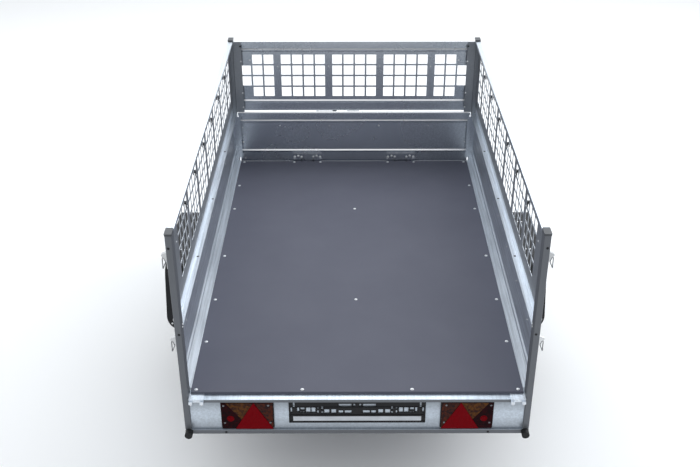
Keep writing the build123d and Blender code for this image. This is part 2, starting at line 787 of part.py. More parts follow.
def make_drawbar():
    angle = atan2(drawbar_slope, 1.0)
    length = (drawbar_tip_y - drawbar_start_y) / cos(angle)
    outline = Rectangle(drawbar_width, drawbar_height) - Rectangle(
        drawbar_width - 2 * drawbar_wall, drawbar_height - 2 * drawbar_wall)
    tube = Rot(90, 0, 0) * extrude(outline, amount=length / 2, both=True)
    middle_y = (drawbar_start_y + drawbar_tip_y) / 2
    place = Pos(drawbar_middle_x(middle_y), middle_y, drawbar_top_z - drawbar_height / 2)
    both_sides("drawbar_beam", place * Rot(0, 0, degrees(angle)) * tube)


def make_coupling():
    """Ball coupling on its plate, with its hand grip."""
    ball_y = front_y + drawbar_reach - socket_from_nose
    half_plate = drawbar_front_x + drawbar_width / 2
    plate_start = drawbar_tip_y - nose_plate_length
    base = drawbar_top_z + nose_plate
    top = base + coupling_height
    half = coupling_width / 2
    back = plate_start + nose_plate_length / 3
    head = block(-half_plate, half_plate, plate_start, drawbar_tip_y, drawbar_top_z, base)
    head += block(-half, half, back, ball_y, base, top)
    head -= block(-half + coupling_wall, half - coupling_wall, back, ball_y - socket_from_nose, base,
                  top - coupling_wall)
    head += rod((0, ball_y, (base + top) / 2), socket_from_nose, coupling_height, "Z")
    head -= rod((0, ball_y, base + socket_depth / 2), ball_radius + ball_clearance, socket_depth, "Z")
    grip_foot = top + grip_rise
    grip_front = ball_y - grip_width / 2
    grip = block(-grip_width / 2, grip_width / 2, grip_front - grip_length, grip_front, grip_foot,
                 grip_foot + grip_thickness)
    grip += block(-grip_width / 2, grip_width / 2, grip_front - grip_width, grip_front, top, grip_foot)
    parts["coupling_head"] = head + grip


# ---------------------------------------------------------------- jockey wheel
jockey_y = front_y + jockey_ahead
drawbar_half_across = drawbar_width / 2 / cos(atan2(drawbar_slope, 1.0))
jockey_x = -(drawbar_middle_x(jockey_y) + drawbar_half_across + jockey_side_gap + jockey_tube_radius)
jockey_bore = jockey_tube_radius - jockey_tube_wall
jockey_tube_top_z = floor_z + jockey_tube_top
jockey_tube_foot_z = jockey_tube_top_z - jockey_tube_length
jockey_wheel_y = jockey_y - jockey_trail
fork_top_z = 2 * jockey_wheel_radius + 2 * jockey_fork_gap


def make_jockey_tube():
    """Outer tube, closed on top, with the crank that winds the stem."""
    middle_z = (jockey_tube_top_z + jockey_tube_foot_z) / 2
    tube = rod((jockey_x, jockey_y, middle_z), jockey_tube_radius, jockey_tube_length, "Z")
    tube -= rod((jockey_x, jockey_y, middle_z - jockey_tube_wall), jockey_bore, jockey_tube_length, "Z")
    crank_z = jockey_tube_top_z + jockey_crank_hub
    crank = rod((jockey_x, jockey_y, jockey_tube_top_z + jockey_crank_hub / 2), jockey_grip_radius,
                jockey_crank_hub, "Z")
    crank += block(jockey_x - jockey_grip_radius, jockey_x + jockey_crank_reach,
                   jockey_y - jockey_grip_radius, jockey_y + jockey_grip_radius,
                   crank_z, crank_z + jockey_crank_thickness)
    grip_z = crank_z + jockey_crank_thickness + jockey_grip_length / 2
    crank += rod((jockey_x + jockey_crank_reach - jockey_grip_radius, jockey_y, grip_z), jockey_grip_radius,
                 jockey_grip_length, "Z")
    parts["jockey_tube"] = tube + crank


def make_jockey_clamp():
    """Collar round the tube and the pad that joins it to the left-hand beam's slanted side."""
    clamp_z = drawbar_top_z - drawbar_height / 2
    grip = jockey_tube_radius + seat_gap
    collar = rod((jockey_x, jockey_y, clamp_z), grip + jockey_clamp_wall, jockey_clamp_height, "Z")
    face_x = jockey_x + jockey_tube_radius + jockey_side_gap
    reach = jockey_clamp_height / 2
    corners = [(jockey_x, jockey_y - reach), (face_x - drawbar_slope * reach, jockey_y - reach),
               (face_x + drawbar_slope * reach, jockey_y + reach), (jockey_x, jockey_y + reach)]
    plan = make_face(Polyline(*corners, close=True))
    pad = Pos(0, 0, clamp_z - reach) * extrude(plan, amount=jockey_clamp_height)
    hole = rod((jockey_x, jockey_y, clamp_z), grip, 2 * jockey_clamp_height, "Z")
    parts["jockey_clamp"] = (collar + pad) - hole


def make_jockey_stem():
    """Sliding stem, with the swivel pin and washer that hold the fork."""
    stem_top = jockey_tube_top_z - jockey_tube_wall - jockey_travel - jockey_end_gap
    stem = rod((jockey_x, jockey_y, (stem_top + fork_top_z) / 2), jockey_bore - jockey_stem_clearance,
               stem_top - fork_top_z, "Z")
    washer_top = fork_top_z - jockey_fork_plate - 2 * seat_gap
    stem += rod((jockey_x, jockey_y, (fork_top_z + washer_top) / 2), jockey_swivel_radius,
                fork_top_z - washer_top, "Z")
    stem += rod((jockey_x, jockey_y, washer_top - jockey_washer / 2), jockey_washer_radius,
                jockey_washer, "Z")
    parts["jockey_stem"] = stem


def make_jockey_fork():
    """Trailing fork with the wheel's pin."""
    half = jockey_wheel_width / 2 + jockey_fork_gap
    across = half + jockey_fork_plate
    crown_top = fork_top_z - seat_gap
    crown_foot = crown_top - jockey_fork_plate
    front = jockey_y + jockey_fork_width / 2
    back = jockey_wheel_y - jockey_fork_width / 2
    fork = block(jockey_x - across, jockey_x + across, back, front, crown_foot, crown_top)
    fork -= rod((jockey_x, jockey_y, crown_top), jockey_swivel_radius + jockey_stem_clearance,
                4 * jockey_fork_plate, "Z")
    for side in (-1, 1):
        low, high = sorted((jockey_x + side * half, jockey_x + side * across))
        fork += block(low, high, back, jockey_wheel_y + jockey_fork_width / 2,
                      jockey_wheel_radius - jockey_fork_width / 2, crown_top)
    fork += rod((jockey_x, jockey_wheel_y, jockey_wheel_radius), jockey_pin_radius, 2 * across)
    parts["jockey_fork"] = fork


def make_jockey_wheel():
    centre = (jockey_x, jockey_wheel_y, jockey_wheel_radius)
    wheel = rod(centre, jockey_wheel_radius, jockey_wheel_width)
    wheel = fillet(wheel.edges().filter_by(GeomType.CIRCLE), jockey_tread_rounding)
    wheel -= rod(centre, jockey_pin_radius + jockey_stem_clearance, 2 * jockey_wheel_width)
    for side in (-1, 1):
        recess_x = jockey_x + side * (jockey_wheel_width - jockey_recess_depth) / 2
        recess_centre = (recess_x, jockey_wheel_y, jockey_wheel_radius)
        recess = rod(recess_centre, jockey_recess_radius, jockey_recess_depth)
        wheel -= recess - rod(recess_centre, jockey_hub_radius, jockey_recess_depth)
    parts["jockey_wheel"] = wheel


for build in (make_floor, make_side_members, make_cross_members, make_rear_cross_member,
              make_front_cross_member, make_lower_posts, make_low_sides, make_mesh_sides, make_post_caps,
              make_front_mesh, make_front_board, make_front_hinges, make_latches, make_lamps,
              make_plate_holder, make_buffers, make_tail_hinges, make_axle, make_swing_arms, make_hubs,
              make_wheels, make_mudguards, make_drawbar, make_coupling, make_jockey_tube,
              make_jockey_clamp, make_jockey_stem, make_jockey_fork, make_jockey_wheel):
    build()

os.makedirs("parts", exist_ok=True)
for name, shape in parts.items():
    export_step(shape, "parts/" + name + ".step")
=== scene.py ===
"""Galvanised utility trailer: finishes, fasteners, tyres and small fittings on the trailer's frame.

+Y points to the drawbar, +X to the right seen from behind, +Z up. Blender's lengths are metres; the
named sizes of fittings are mm, and MM turns them into metres.
"""
import json
import math

import bmesh
import bpy
from mathutils import Matrix, Vector


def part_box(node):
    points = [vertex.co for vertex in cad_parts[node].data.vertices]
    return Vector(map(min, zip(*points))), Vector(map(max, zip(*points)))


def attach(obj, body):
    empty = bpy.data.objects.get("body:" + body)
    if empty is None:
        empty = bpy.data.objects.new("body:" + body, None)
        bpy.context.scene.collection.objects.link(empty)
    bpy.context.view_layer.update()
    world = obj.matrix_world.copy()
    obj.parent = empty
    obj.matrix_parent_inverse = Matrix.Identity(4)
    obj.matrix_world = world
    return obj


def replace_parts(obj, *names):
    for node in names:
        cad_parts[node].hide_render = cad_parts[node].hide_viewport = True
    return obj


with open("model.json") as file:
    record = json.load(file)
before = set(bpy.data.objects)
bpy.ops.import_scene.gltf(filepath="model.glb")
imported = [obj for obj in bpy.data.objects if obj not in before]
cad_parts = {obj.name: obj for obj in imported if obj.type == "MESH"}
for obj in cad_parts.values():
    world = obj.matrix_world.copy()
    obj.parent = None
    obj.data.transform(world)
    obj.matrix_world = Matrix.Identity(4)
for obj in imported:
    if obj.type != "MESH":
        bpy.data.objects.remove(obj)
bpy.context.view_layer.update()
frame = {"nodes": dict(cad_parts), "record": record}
nodes = frame["nodes"]
scene = bpy.context.scene


def middle(node):
    """The middle of a node's box."""
    return [(a + b) / 2 for a, b in zip(*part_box(node))]


# -------- places taken from the frame
post_low, post_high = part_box("rear_post_right")
bed_rear = post_low[1]
bed_half = post_high[0]
floor_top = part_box("floor_panel")[1][2]
tyre_x, axle_y, axle_z = middle("tyre_right")
tyre_low, tyre_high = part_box("tyre_right")
tyre_width = tyre_high[0] - tyre_low[0]

# -------- driving values of this script
MM = 0.001
MERGE = 0.01 * MM              # corners closer than this become one
UP = (0.0, 0.0, 1.0)
DOWN = (0.0, 0.0, -1.0)
BACK = (0.0, -1.0, 0.0)
RIGHT = (1.0, 0.0, 0.0)
LEFT = (-1.0, 0.0, 0.0)
BOTH = (-1, 1)
WHEELS = (("right", 1), ("left", -1))
SHARP_EDGE = math.radians(35.0)

# Camera, lights and ground, in metres and watts
CAMERA_BEHIND_BED = 2.8671
CAMERA_ABOVE_FLOOR = 2.3562
CAMERA_LEFT = 0.035
CAMERA_PITCH = math.radians(29.877)
CAMERA_YAW = math.radians(0.146)
CAMERA_LENS_MM, CAMERA_SENSOR_MM = 49.71, 36.0
COOL_WHITE = (0.94, 0.97, 1.0)
SOFTBOXES = (                  # name, place, target, size, power
    ("overhead_softbox", (0.0, 2.6, 5.2), (0.0, 0.2, 0.6), (6.0, 4.0), 135.0),
    ("side_softbox", (-4.2, 1.8, 4.2), (0.0, 0.0, 0.6), (3.0, 4.0), 60.0),
    ("side_softbox", (4.2, 1.8, 4.2), (0.0, 0.0, 0.6), (3.0, 4.0), 155.0),
)
SKY_ON_SURFACES, SKY_SEEN = 0.75, 1.0
GROUND_SIZE, GROUND_TONE, GROUND_ROUGHNESS, GROUND_GLOSS = 60.0, (0.95, 0.95, 0.95), 0.9, 0.2

# Finishes: a noise is (scale, detail) or (scale, detail, stretch); a range is a part of a noise
WIDE_RANGE, NARROW_RANGE = (0.3, 0.7), (0.35, 0.65)
ZINC_CLOUDS = (3.0, 5.0)
ZINC_CRYSTALS, ZINC_CRYSTAL_SHADES = 90.0, (0.97, 1.03)
ZINC_STREAKS, ZINC_STREAK_TOP = (140.0, 5.0, (1.0, 0.03, 1.0)), 1.05
ZINC_DULLER, ZINC_SLEEKER = 0.05, -0.04
ZINC_DENTS, ZINC_DENT_DEPTH, ZINC_DENT_STRENGTH = (26.0, 3.0), 0.0004, 0.08
ZINC_METALLIC = 0.97
SHEET_ROUGHNESS, SIDE_ROUGHNESS, FRONT_ROUGHNESS = 0.38, 0.36, 0.26
POST_TONE, POST_METALLIC, POST_ROUGHNESS = (0.135, 0.143, 0.158), 0.5, 0.45
FRONT_POST_SHARE = 0.75        # how much of the rear posts' dullness the front ones have
# Painted highlight on the front boards: faces turned upwards are painted white and made less metallic
PAINTED_HIGHLIGHT_TONE, PAINTED_HIGHLIGHT_METALLIC = (1.0, 1.0, 1.0), 0.55
PAINTED_HIGHLIGHT_RISE = (0.05, 0.3)        # upward share of the direction that a bead's slope faces
PLAIN_CLOUDS, PLAIN_SHADE = (14.0,), 0.8
PLAIN_DULLER, PLAIN_SLEEKER = 1.12, 0.9
GRAIN_DETAIL = 2.0
FLOOR_MOTTLE, FLOOR_TONES = (5.0, 3.0), ((0.105, 0.109, 0.143), (0.112, 0.116, 0.151))
FLOOR_SHEEN, FLOOR_GLOSS = (0.56, 0.52), 0.25
FLOOR_GRAIN, FLOOR_GRAIN_DEPTH, FLOOR_GRAIN_STRENGTH = 900.0, 0.0001, 0.3
LENS_ROUGHNESS, LENS_GLOSS = 0.25, 0.04
LENS_FLUTES, LENS_FLUTE_DEPTH, LENS_FLUTE_STRENGTH = 55.0, 0.0006, 0.5
LENS_PATCHES = (110.0,)

# Edges of the dull zinc in mm: above the floor's top, across, forward, or dropped below the floor's top
MASK_EDGE = 1.0
MESH_FOOT, MESH_HEAD, MESH_SHARE = 330.0, 690.0, 0.78
BED_INSIDE = 664.0             # where the boards' outer faces start
REAR_POST_END, FRONT_POST_START = 46.2, 2038.0
# The sill's lip and the panel under it get a painted shadow, fading downwards; its shares are of the post
# tone
HEM_DROP, LIP_DROP, SILL_SHADOW_DROP = 12.5, 25.5, 85.0
LIP_SHADOW_SHARE, SILL_SHADOW_SHARE = 0.3, 0.65
PANEL_FADE_DROP, PANEL_FADE_SHARE = 110.0, 0.5
PANEL_FOOT_DROP = 167.9

# Geometry trees
HEAD_RINGS = 6
HEAD_CROWN = 0.97              # how far up its curve a fastener's head is cut off flat
WASHER_SIDES = 16
SQUARE_SIDES, SQUARE_RADIUS, SQUARE_TURN = 4, math.sqrt(0.5), math.radians(45.0)
FASTENER_SIZES = {"Head radius": "Float", "Head height": "Float", "Washer radius": "Float",
                  "Washer height": "Float", "Sides": "Int", "Squareness": "Float"}
LUG_SIZES = dict.fromkeys(("Length", "Width", "Height", "Top share"), "Float")
FASTENERS = {                  # the first four sizes in mm, then the sides and the squareness
    "floor bolt": (6.0, 3.0, 7.0, 0.7, 12, 2.0),
    "rivet": (3.6, 1.8, 4.2, 0.3, 10, 2.0),
    "bolt": (6.0, 4.0, 8.5, 1.2, 6, 12.0),
    "wheel bolt": (9.0, 9.0, 11.0, 1.5, 6, 12.0),
    "plug": (4.5, 0.7, 5.0, 0.3, 12, 6.0),
}
BAR_EDGE_STEPS = 2
WIRE_SIDES = 8

# Places on the bed in mm: across from the middle, forward from the rear, up from the floor.
# The hook's section is (out, up), the latch's ear (out, drop) and its loop (out, forward, drop).
BED_HALF = 665.0
SIDE_SHEET_INNER = 663.0
POST_INNER = 640.0
POST_MIDDLE = 655.0
LOW_TOP = 295.0
FLOOR_BOLT_X = 615.0
FLOOR_BOLT_REAR_X = 210.0
FLOOR_BOLT_ROWS = (39.0, 346.0, 655.0, 1023.0, 1488.0, 1750.0, 2040.0)
FLOOR_BOLT_MIDDLE_ROWS = (655.0, 1488.0)
FRONT_HINGE_X = 262.0
FRONT_BOLT_OFFSET = 73.0
FRONT_SHEET_Y = 2066.0
FRONT_PLATE_Y = 2064.0
FRONT_MESH_RIVETS = ((136.0, 554.0), (409.0, 554.0), (557.0, 589.0))       # across, up
FRONT_BOARD_RIVETS = ((137.0, 210.0), (410.0, 210.0), (617.0, 200.0), (617.0, 112.0))
FRONT_HINGE_BOLTS = ((33.0, 21.0), (51.0, 27.0), (71.0, 21.0))             # from the hinge, up
STRIP_X, STRIP_FACE_Y = 602.0, 2040.7
STRIP_RIVETS_Z, STRIP_HOLE_Z = (331.0, 413.0, 591.0), 674.0
POST_PLUGS = ((POST_MIDDLE, 0.0, 649.0), (650.0, 0.0, 284.0))
POST_RIVETS = ((POST_INNER, 36.0, 307.0), (POST_INNER, 31.0, 298.0))
SIDE_RIVET_START, SIDE_RIVET_PITCH, SIDE_RIVET_COUNT = 229.0, 278.0, 7
SIDE_RIVET_Z = 190.0
RAIL_PLUG_X, RAIL_PLUG_START, RAIL_PLUG_PITCH, RAIL_PLUG_COUNT = 652.0, 533.0, 507.0, 4
HOOK_START, HOOK_PITCH, HOOK_COUNT = 190.0, 274.5, 7
HOOK_Z = 574.0
HOOK_RIVET_DROP = 8.0
HOOK_WIDTH = 13.0
HOOK_SECTION = ((0, -13), (0, 13), (9, 13), (13, 8), (12.5, -5), (9, -6), (8, 3), (4, 4), (3, -13))
LATCH_ROWS, LATCH_BOLTS_Z = (23.0, 2067.0), (336.0, 250.0)
LATCH_PLATE, LATCH_HALF, LATCH_HEIGHT, LATCH_EDGE = 2.5, 12.0, 62.0, 0.8
LATCH_EAR_HALF = 6.0
LATCH_EAR = ((LATCH_PLATE, 0), (20, 8), (22, 14), (14, 24), (LATCH_PLATE, 42))
LATCH_LOOP = ((14, -5, 22), (8, -5, 40), (19, -5, 66), (21, 0, 68), (21.5, 5, 64), (21, 5, 34), (18, 5, 20))
LATCH_WIRE = 1.9               # radius of the loop's wire
HOLDER_HALF, HOLDER_HEIGHT = 262.0, 107.0
HOLDER_STRETCH = 1.08          # of the clip openings' heights below the holder's top
HOLDER_RIM_DEPTH = 2.0
HOLDER_END = 6.0
HOLDER_LAP, HOLDER_EDGE = 1.0, 0.6
HOLDER_BARS = ((-5, 0), (-32, -30), (-75, -68), (-107, -97.5))
HOLDER_BAND = (-97.0, -75.5)
HOLDER_BAND_HALF, HOLDER_BAND_DEPTH, HOLDER_BAND_EDGE = 246.0, 0.4, 0.5
HOLDER_OPENINGS = (            # middle across, middle below the top, width, height
    (242.5, -20, 7, 26), (252.5, -41, 6, 24), (226, -40, 8, 23), (209.5, -36, 15, 14),
    (215.5, -52, 5, 6), (205.5, -52, 7, 6), (187.5, -41.5, 17, 25), (167.5, -41.5, 15, 25),
    (150.5, -33.5, 5, 9), (150.5, -51, 5, 14), (133.5, -33, 7, 14), (133.5, -53.5, 7, 9),
    (116.5, -48.5, 19, 19), (90, -48.5, 18, 19), (46.5, -21.5, 49, 15), (62.5, -51, 17, 14),
    (35, -51, 26, 14), (11.5, -20, 7, 12))
LENS_FACE_Y, REFLECTOR_FACE_Y = -8.0, -10.0
LAMP_SCREWS = ((509.5, LENS_FACE_Y, -41.0), (508.0, LENS_FACE_Y, -125.0), (339.0, LENS_FACE_Y, -40.0),
               (333.0, REFLECTOR_FACE_Y, -122.0))
BULB_X, BULB_Z, BULB_STEPS = 485.0, -104.0, 32
BULB_OUTLINE = (
    (0, 14), (1.6, 13), (1, 10.5), (2.4, 9.5), (1.8, 7), (3, 6), (2.6, 3.5), (3.2, 0.2), (0, 0.2))

# Wheels in mm: distances in from the tyre's side or out from the wheel's middle plane, and radii
TYRE_SECTION = (
    (14, 165.3), (9, 171), (5, 180), (2.6, 188), (1.2, 190), (1.6, 193), (0.6, 205), (0, 216), (0.5, 228),
    (2.4, 238), (1.6, 241), (3.2, 244), (6.5, 253), (12, 261), (20, 266), (75, 267.5))
TYRE_STEPS = 96
TREAD_ROWS = (-48.0, -24.5, 0.0, 24.5, 48.0)
TREAD_COUNT = 62
TREAD_LUG, TREAD_TOP_SHARE = (22.0, 18.5, 7.0), 0.86
TREAD_BASE = 266.0
TREAD_SKEW = 0.12
WHEEL_DISC_FACE = 34.3
WHEEL_BOLTS, WHEEL_BOLT_RADIUS = 4, 50.0
DUST_CAP = ((-9, 31.2), (-9, 33), (4, 33), (9, 30.5), (13, 24), (15, 12), (15.4, 0.2), (1, 0.2), (1, 31.2))
DUST_CAP_STEPS, VALVE_STEPS = 32, 12
VALVE_RADIUS = 112.0
VALVE_TURN = 54.0              # degrees, midway between two of the wheel's holes
VALVE_OUTLINE = ((0, 0.2), (0, 7), (4, 6.5), (6, 4), (30, 3.6), (31, 4.4), (38, 4.2), (39, 0.2))

# Small places in mm on the bed: the rear foot, front hinges, tail hinges and mudguards
FOOT_HOLE_X, FOOT_HOLE_Z = 507.0, -178.0
FRONT_SLOT_OFFSET, FRONT_SLOT_Y = 33.0, 2053.0
HINGE_X, HINGE_KNOB_OFFSET, HINGE_KNOB_Y, HINGE_KNOB_Z = 610.0, 21.0, -20.0, -26.0
GUARD_STUD_X, GUARD_STUD_Y = (745.0, 765.0, 785.0), (865.0, 1117.0)
GUARD_BOLT = (815.0, 660.0, -129.6)
GUARD_BOLT_FACING = (0.0, -0.96, 0.28)

# Jockey wheel in mm: (across, radius) from its centre; handles: (along, radius)
ROLLER_TYRE = (
    (-25, 74), (-25, 90), (-23, 96), (-18, 99.5), (-9, 100), (-7.5, 98), (7.5, 98), (9, 100), (18, 99.5),
    (23, 96), (25, 90), (25, 74), (20, 69), (-20, 69))
ROLLER_RING = (
    (-20, 64), (-21.5, 66), (-21.5, 70), (-19.5, 71), (19.5, 71), (21.5, 70), (21.5, 66), (20, 64))
ROLLER_WEB = ((-3, 16), (-3, 67), (3, 67), (3, 16))
ROLLER_HUB = ((-24.5, 8.3), (-24.5, 17), (-23, 19), (-4, 21), (4, 21), (23, 19), (24.5, 17), (24.5, 8.3))
ROLLER_RIB = ((-15, 18), (15, 18), (11, 66), (-11, 66))
ROLLER_RIBS, ROLLER_RIB_HALF = 6, 2.0
ROLLER_TYRE_STEPS, ROLLER_RIM_STEPS = 64, 48
CRANK_PIN = 9.0                # from the crank's end to its pin's middle
CRANK_GRIP_LENGTH = 58.0
CRANK_STEPS, CLAMP_STEPS = 24, 16
CRANK_SLEEVE = (
    (-56, 9.2), (-56, 11.5), (-54, 13), (-40, 12), (-20, 12), (-6, 13), (-1, 12), (2, 8), (3, 0.2),
    (0.2, 0.2), (0.2, 9.2))
CLAMP_SPINDLE = ((-2, 0.2), (-2, 9), (4, 9), (5, 5), (30, 5), (31, 8), (40, 8), (41, 0.2))
CLAMP_BAR_OUT = 35.5
CLAMP_BAR = ((-36, 0.2), (-36, 4.5), (-33, 5.5), (-29, 3.8), (29, 3.8), (33, 5.5), (36, 4.5), (36, 0.2))

# Coupling and underside in mm; lengths along the coupling run back from its nose
COUPLING_PLATE = 5.0
COUPLING_PLATE_BOLTS = ((50.0, 175.0), (56.0, 225.0))
COUPLING_HALF = 32.0
COUPLING_CROSS_BOLTS = (185.0, 255.0)
COUPLING_BOLT_RISE = 19.0
GRIP_HALF = 12.0
GRIP_EDGE_ANGLE, GRIP_EDGE, GRIP_EDGE_STEPS = math.radians(60.0), 2.0, 3
GRIP_SIDE = (
    (80, -2), (164, -2), (168, 2), (168, 8), (164, 11), (158, 10), (148, 12), (138, 10), (128, 12),
    (118, 10), (108, 12), (98, 10), (88, 11.5), (80, 10.5))
BEAM_HALF = 20.0
AXLE_PAD, AXLE_BOLT_STEP, AXLE_BOLT_ROW = 4.0, 18.0, 46.0


def bed_point(x_mm, y_mm, z_mm):
    """A place measured from the bed: across from the middle, forward from its rear, up from the floor."""
    return Vector((x_mm * MM, bed_rear + y_mm * MM, floor_top + z_mm * MM))


def add_node(tree, kind, inputs=None, **settings):
    """Adds a node, sets its properties, and fills its sockets with values or links."""
    node = tree.nodes.new(kind)
    for key, value in settings.items():
        setattr(node, key, value)
    for key, value in (inputs or {}).items():
        if isinstance(value, bpy.types.NodeSocket):
            tree.links.new(value, node.inputs[key])
        else:
            node.inputs[key].default_value = value
    return node


def put(name, data):
    """Puts a new object with the given data in the scene."""
    made = bpy.data.objects.new(name, data)
    scene.collection.objects.link(made)
    return made


# -------- camera, light and ground
def make_camera():
    """The camera behind and above the bed, looking down on it."""
    camera = put("camera", bpy.data.cameras.new("camera"))
    camera.data.lens = CAMERA_LENS_MM
    camera.data.sensor_width = CAMERA_SENSOR_MM
    camera.location = (-CAMERA_LEFT, bed_rear - CAMERA_BEHIND_BED, floor_top + CAMERA_ABOVE_FLOOR)
    camera.rotation_euler = (math.radians(90.0) - CAMERA_PITCH, 0.0, -CAMERA_YAW)
    scene.camera = camera


def make_softboxes():
    """Broad area lights, each turned to its target."""
    for name, place, target, size, power in SOFTBOXES:
        light = bpy.data.lights.new(name, "AREA")
        light.shape = "RECTANGLE"
        light.size, light.size_y = size
        light.energy = power
        light.color = COOL_WHITE
        lamp = put(name, light)
        lamp.location = place
        lamp.rotation_euler = (Vector(target) - Vector(place)).to_track_quat("-Z", "Y").to_euler()


def make_sky():
    """An even sky, brighter where it is seen, mirrored or seen through a lens than on surfaces."""
    world = bpy.data.worlds.new("studio")
    world.use_nodes = True
    tree = world.node_tree
    sky = tree.nodes["Background"]
    sky.inputs["Color"].default_value = (*COOL_WHITE, 1.0)
    path = add_node(tree, "ShaderNodeLightPath").outputs
    seen = path["Is Camera Ray"]
    for kind in ("Is Glossy Ray", "Is Transmission Ray"):
        seen = add_node(tree, "ShaderNodeMath", {0: seen, 1: path[kind]}, operation="MAXIMUM").outputs[0]
    inputs = {"Value": seen, "To Min": SKY_ON_SURFACES, "To Max": SKY_SEEN}
    level = add_node(tree, "ShaderNodeMapRange", inputs)
    tree.links.new(level.outputs["Result"], sky.inputs["Strength"])
    scene.world = world


def make_ground():
    """A wide, pale, matt floor under the wheels."""
    bpy.ops.mesh.primitive_plane_add(size=GROUND_SIZE, location=(0.0, 0.0, 0.0))
    ground = bpy.context.object
    ground.name = "ground"
    finish = Finish("pale_ground", GROUND_TONE, GROUND_ROUGHNESS, gloss=GROUND_GLOSS)
    ground.data.materials.append(finish.material)


# -------- finishes
class Finish:
    """A procedural material under construction: a Principled shader fed from object coordinates."""

    def __init__(self, name, colour, roughness, metallic=0.0, gloss=0.5):
        self.material = bpy.data.materials.new(name)
        self.material.use_nodes = True
        self.tree = self.material.node_tree
        self.shader = self.tree.nodes["Principled BSDF"]
        for socket, value in (("Base Color", (*colour, 1.0)), ("Roughness", roughness),
                              ("Metallic", metallic), ("Specular IOR Level", gloss)):
            self.shader.inputs[socket].default_value = value
        self.place = self.add("ShaderNodeTexCoord").outputs["Object"]

    def add(self, kind, inputs=None, **settings):
        return add_node(self.tree, kind, inputs, **settings)

    def feed(self, socket, value):
        self.tree.links.new(value, self.shader.inputs[socket])

    def calc(self, operation, first, second=0.0):
        return self.add("ShaderNodeMath", {0: first, 1: second}, operation=operation).outputs[0]

    def part(self, vector, axis):
        return self.add("ShaderNodeSeparateXYZ", {"Vector": vector}).outputs[axis]

    def noise(self, scale, detail=4.0, stretch=(1.0, 1.0, 1.0)):
        mapping = self.add("ShaderNodeMapping", {"Vector": self.place, "Scale": stretch})
        inputs = {"Vector": mapping.outputs[0], "Scale": scale, "Detail": detail}
        return self.add("ShaderNodeTexNoise", inputs).outputs["Fac"]

    def spread(self, value, low, high, at_low, at_high):
        """Maps a value from low..high to at_low..at_high."""
        inputs = {"Value": value, "From Min": low, "From Max": high, "To Min": at_low, "To Max": at_high}
        return self.add("ShaderNodeMapRange", inputs).outputs["Result"]

    def blend(self, factor, first, second):
        """Runs from one colour to another as the factor rises; a colour is a socket or three values."""
        first, second = [colour if isinstance(colour, bpy.types.NodeSocket) else (*colour, 1.0)
                         for colour in (first, second)]
        inputs = {"Factor": factor, "A": first, "B": second}
        return self.add("ShaderNodeMix", inputs, data_type="RGBA").outputs["Result"]

    def shade(self, colour, factor):
        """Multiplies a colour by a grey factor."""
        inputs = {"Factor": 1.0, "A": colour, "B": factor}
        return self.add("ShaderNodeMix", inputs, data_type="RGBA", blend_type="MULTIPLY").outputs["Result"]

    def bump(self, height, distance, strength=1.0):
        inputs = {"Height": height, "Distance": distance, "Strength": strength}
        self.feed("Normal", self.add("ShaderNodeBump", inputs).outputs[0])


def galvanised_finish(name, tones, roughness, metallic=ZINC_METALLIC, dullness=None, scuffed=0.87,
                      painted_top_highlights=False):
    """Hot-dip zinc: faint crystals, cloudy patches, rolling streaks along the bed and an uneven sheen.

    Where dullness gives a mask, the surface is like a post, duller and darker than the sheet; the rear
    panel's mask also paints a shadow under the sill. The rolling streaks darken it to the share scuffed.
    With painted top highlights, faces turned upwards, such as bead slopes and flanges, are painted white
    and less metallic as a highlight.
    """
    light, dark = tones
    zinc = Finish(name, light, roughness, metallic)
    crystals = zinc.add("ShaderNodeTexVoronoi", {"Vector": zinc.place, "Scale": ZINC_CRYSTALS})
    grey = zinc.add("ShaderNodeRGBToBW", {"Color": crystals.outputs["Color"]}).outputs[0]
    clouds = zinc.noise(*ZINC_CLOUDS)
    streaks = zinc.noise(*ZINC_STREAKS)
    colour = zinc.blend(zinc.spread(clouds, *WIDE_RANGE, 0.0, 1.0), dark, light)
    colour = zinc.shade(colour, zinc.spread(grey, 0.0, 1.0, *ZINC_CRYSTAL_SHADES))
    colour = zinc.shade(colour, zinc.spread(streaks, *NARROW_RANGE, scuffed, ZINC_STREAK_TOP))
    sheen = zinc.spread(clouds, *WIDE_RANGE, roughness + ZINC_DULLER, roughness + ZINC_SLEEKER)
    if dullness:
        mask = dullness(zinc)
        colour = zinc.blend(mask, colour, POST_TONE)
        zinc.feed("Metallic", zinc.spread(mask, 0.0, 1.0, metallic, POST_METALLIC))
        inputs = {"Factor": mask, "A": sheen, "B": POST_ROUGHNESS}
        sheen = zinc.add("ShaderNodeMix", inputs).outputs["Result"]
    # Painted highlight: faces turned upwards are blended to white and made less metallic, standing in for
    # light
    if painted_top_highlights:
        rise = zinc.part(zinc.add("ShaderNodeNewGeometry").outputs["Normal"], "Z")
        mask = zinc.spread(rise, *PAINTED_HIGHLIGHT_RISE, 0.0, 1.0)
        colour = zinc.blend(mask, colour, PAINTED_HIGHLIGHT_TONE)
        zinc.feed("Metallic", zinc.spread(mask, 0.0, 1.0, metallic, PAINTED_HIGHLIGHT_METALLIC))
    zinc.feed("Base Color", colour)
    zinc.feed("Roughness", sheen)
    zinc.bump(zinc.noise(*ZINC_DENTS), ZINC_DENT_DEPTH, ZINC_DENT_STRENGTH)
    return zinc.material


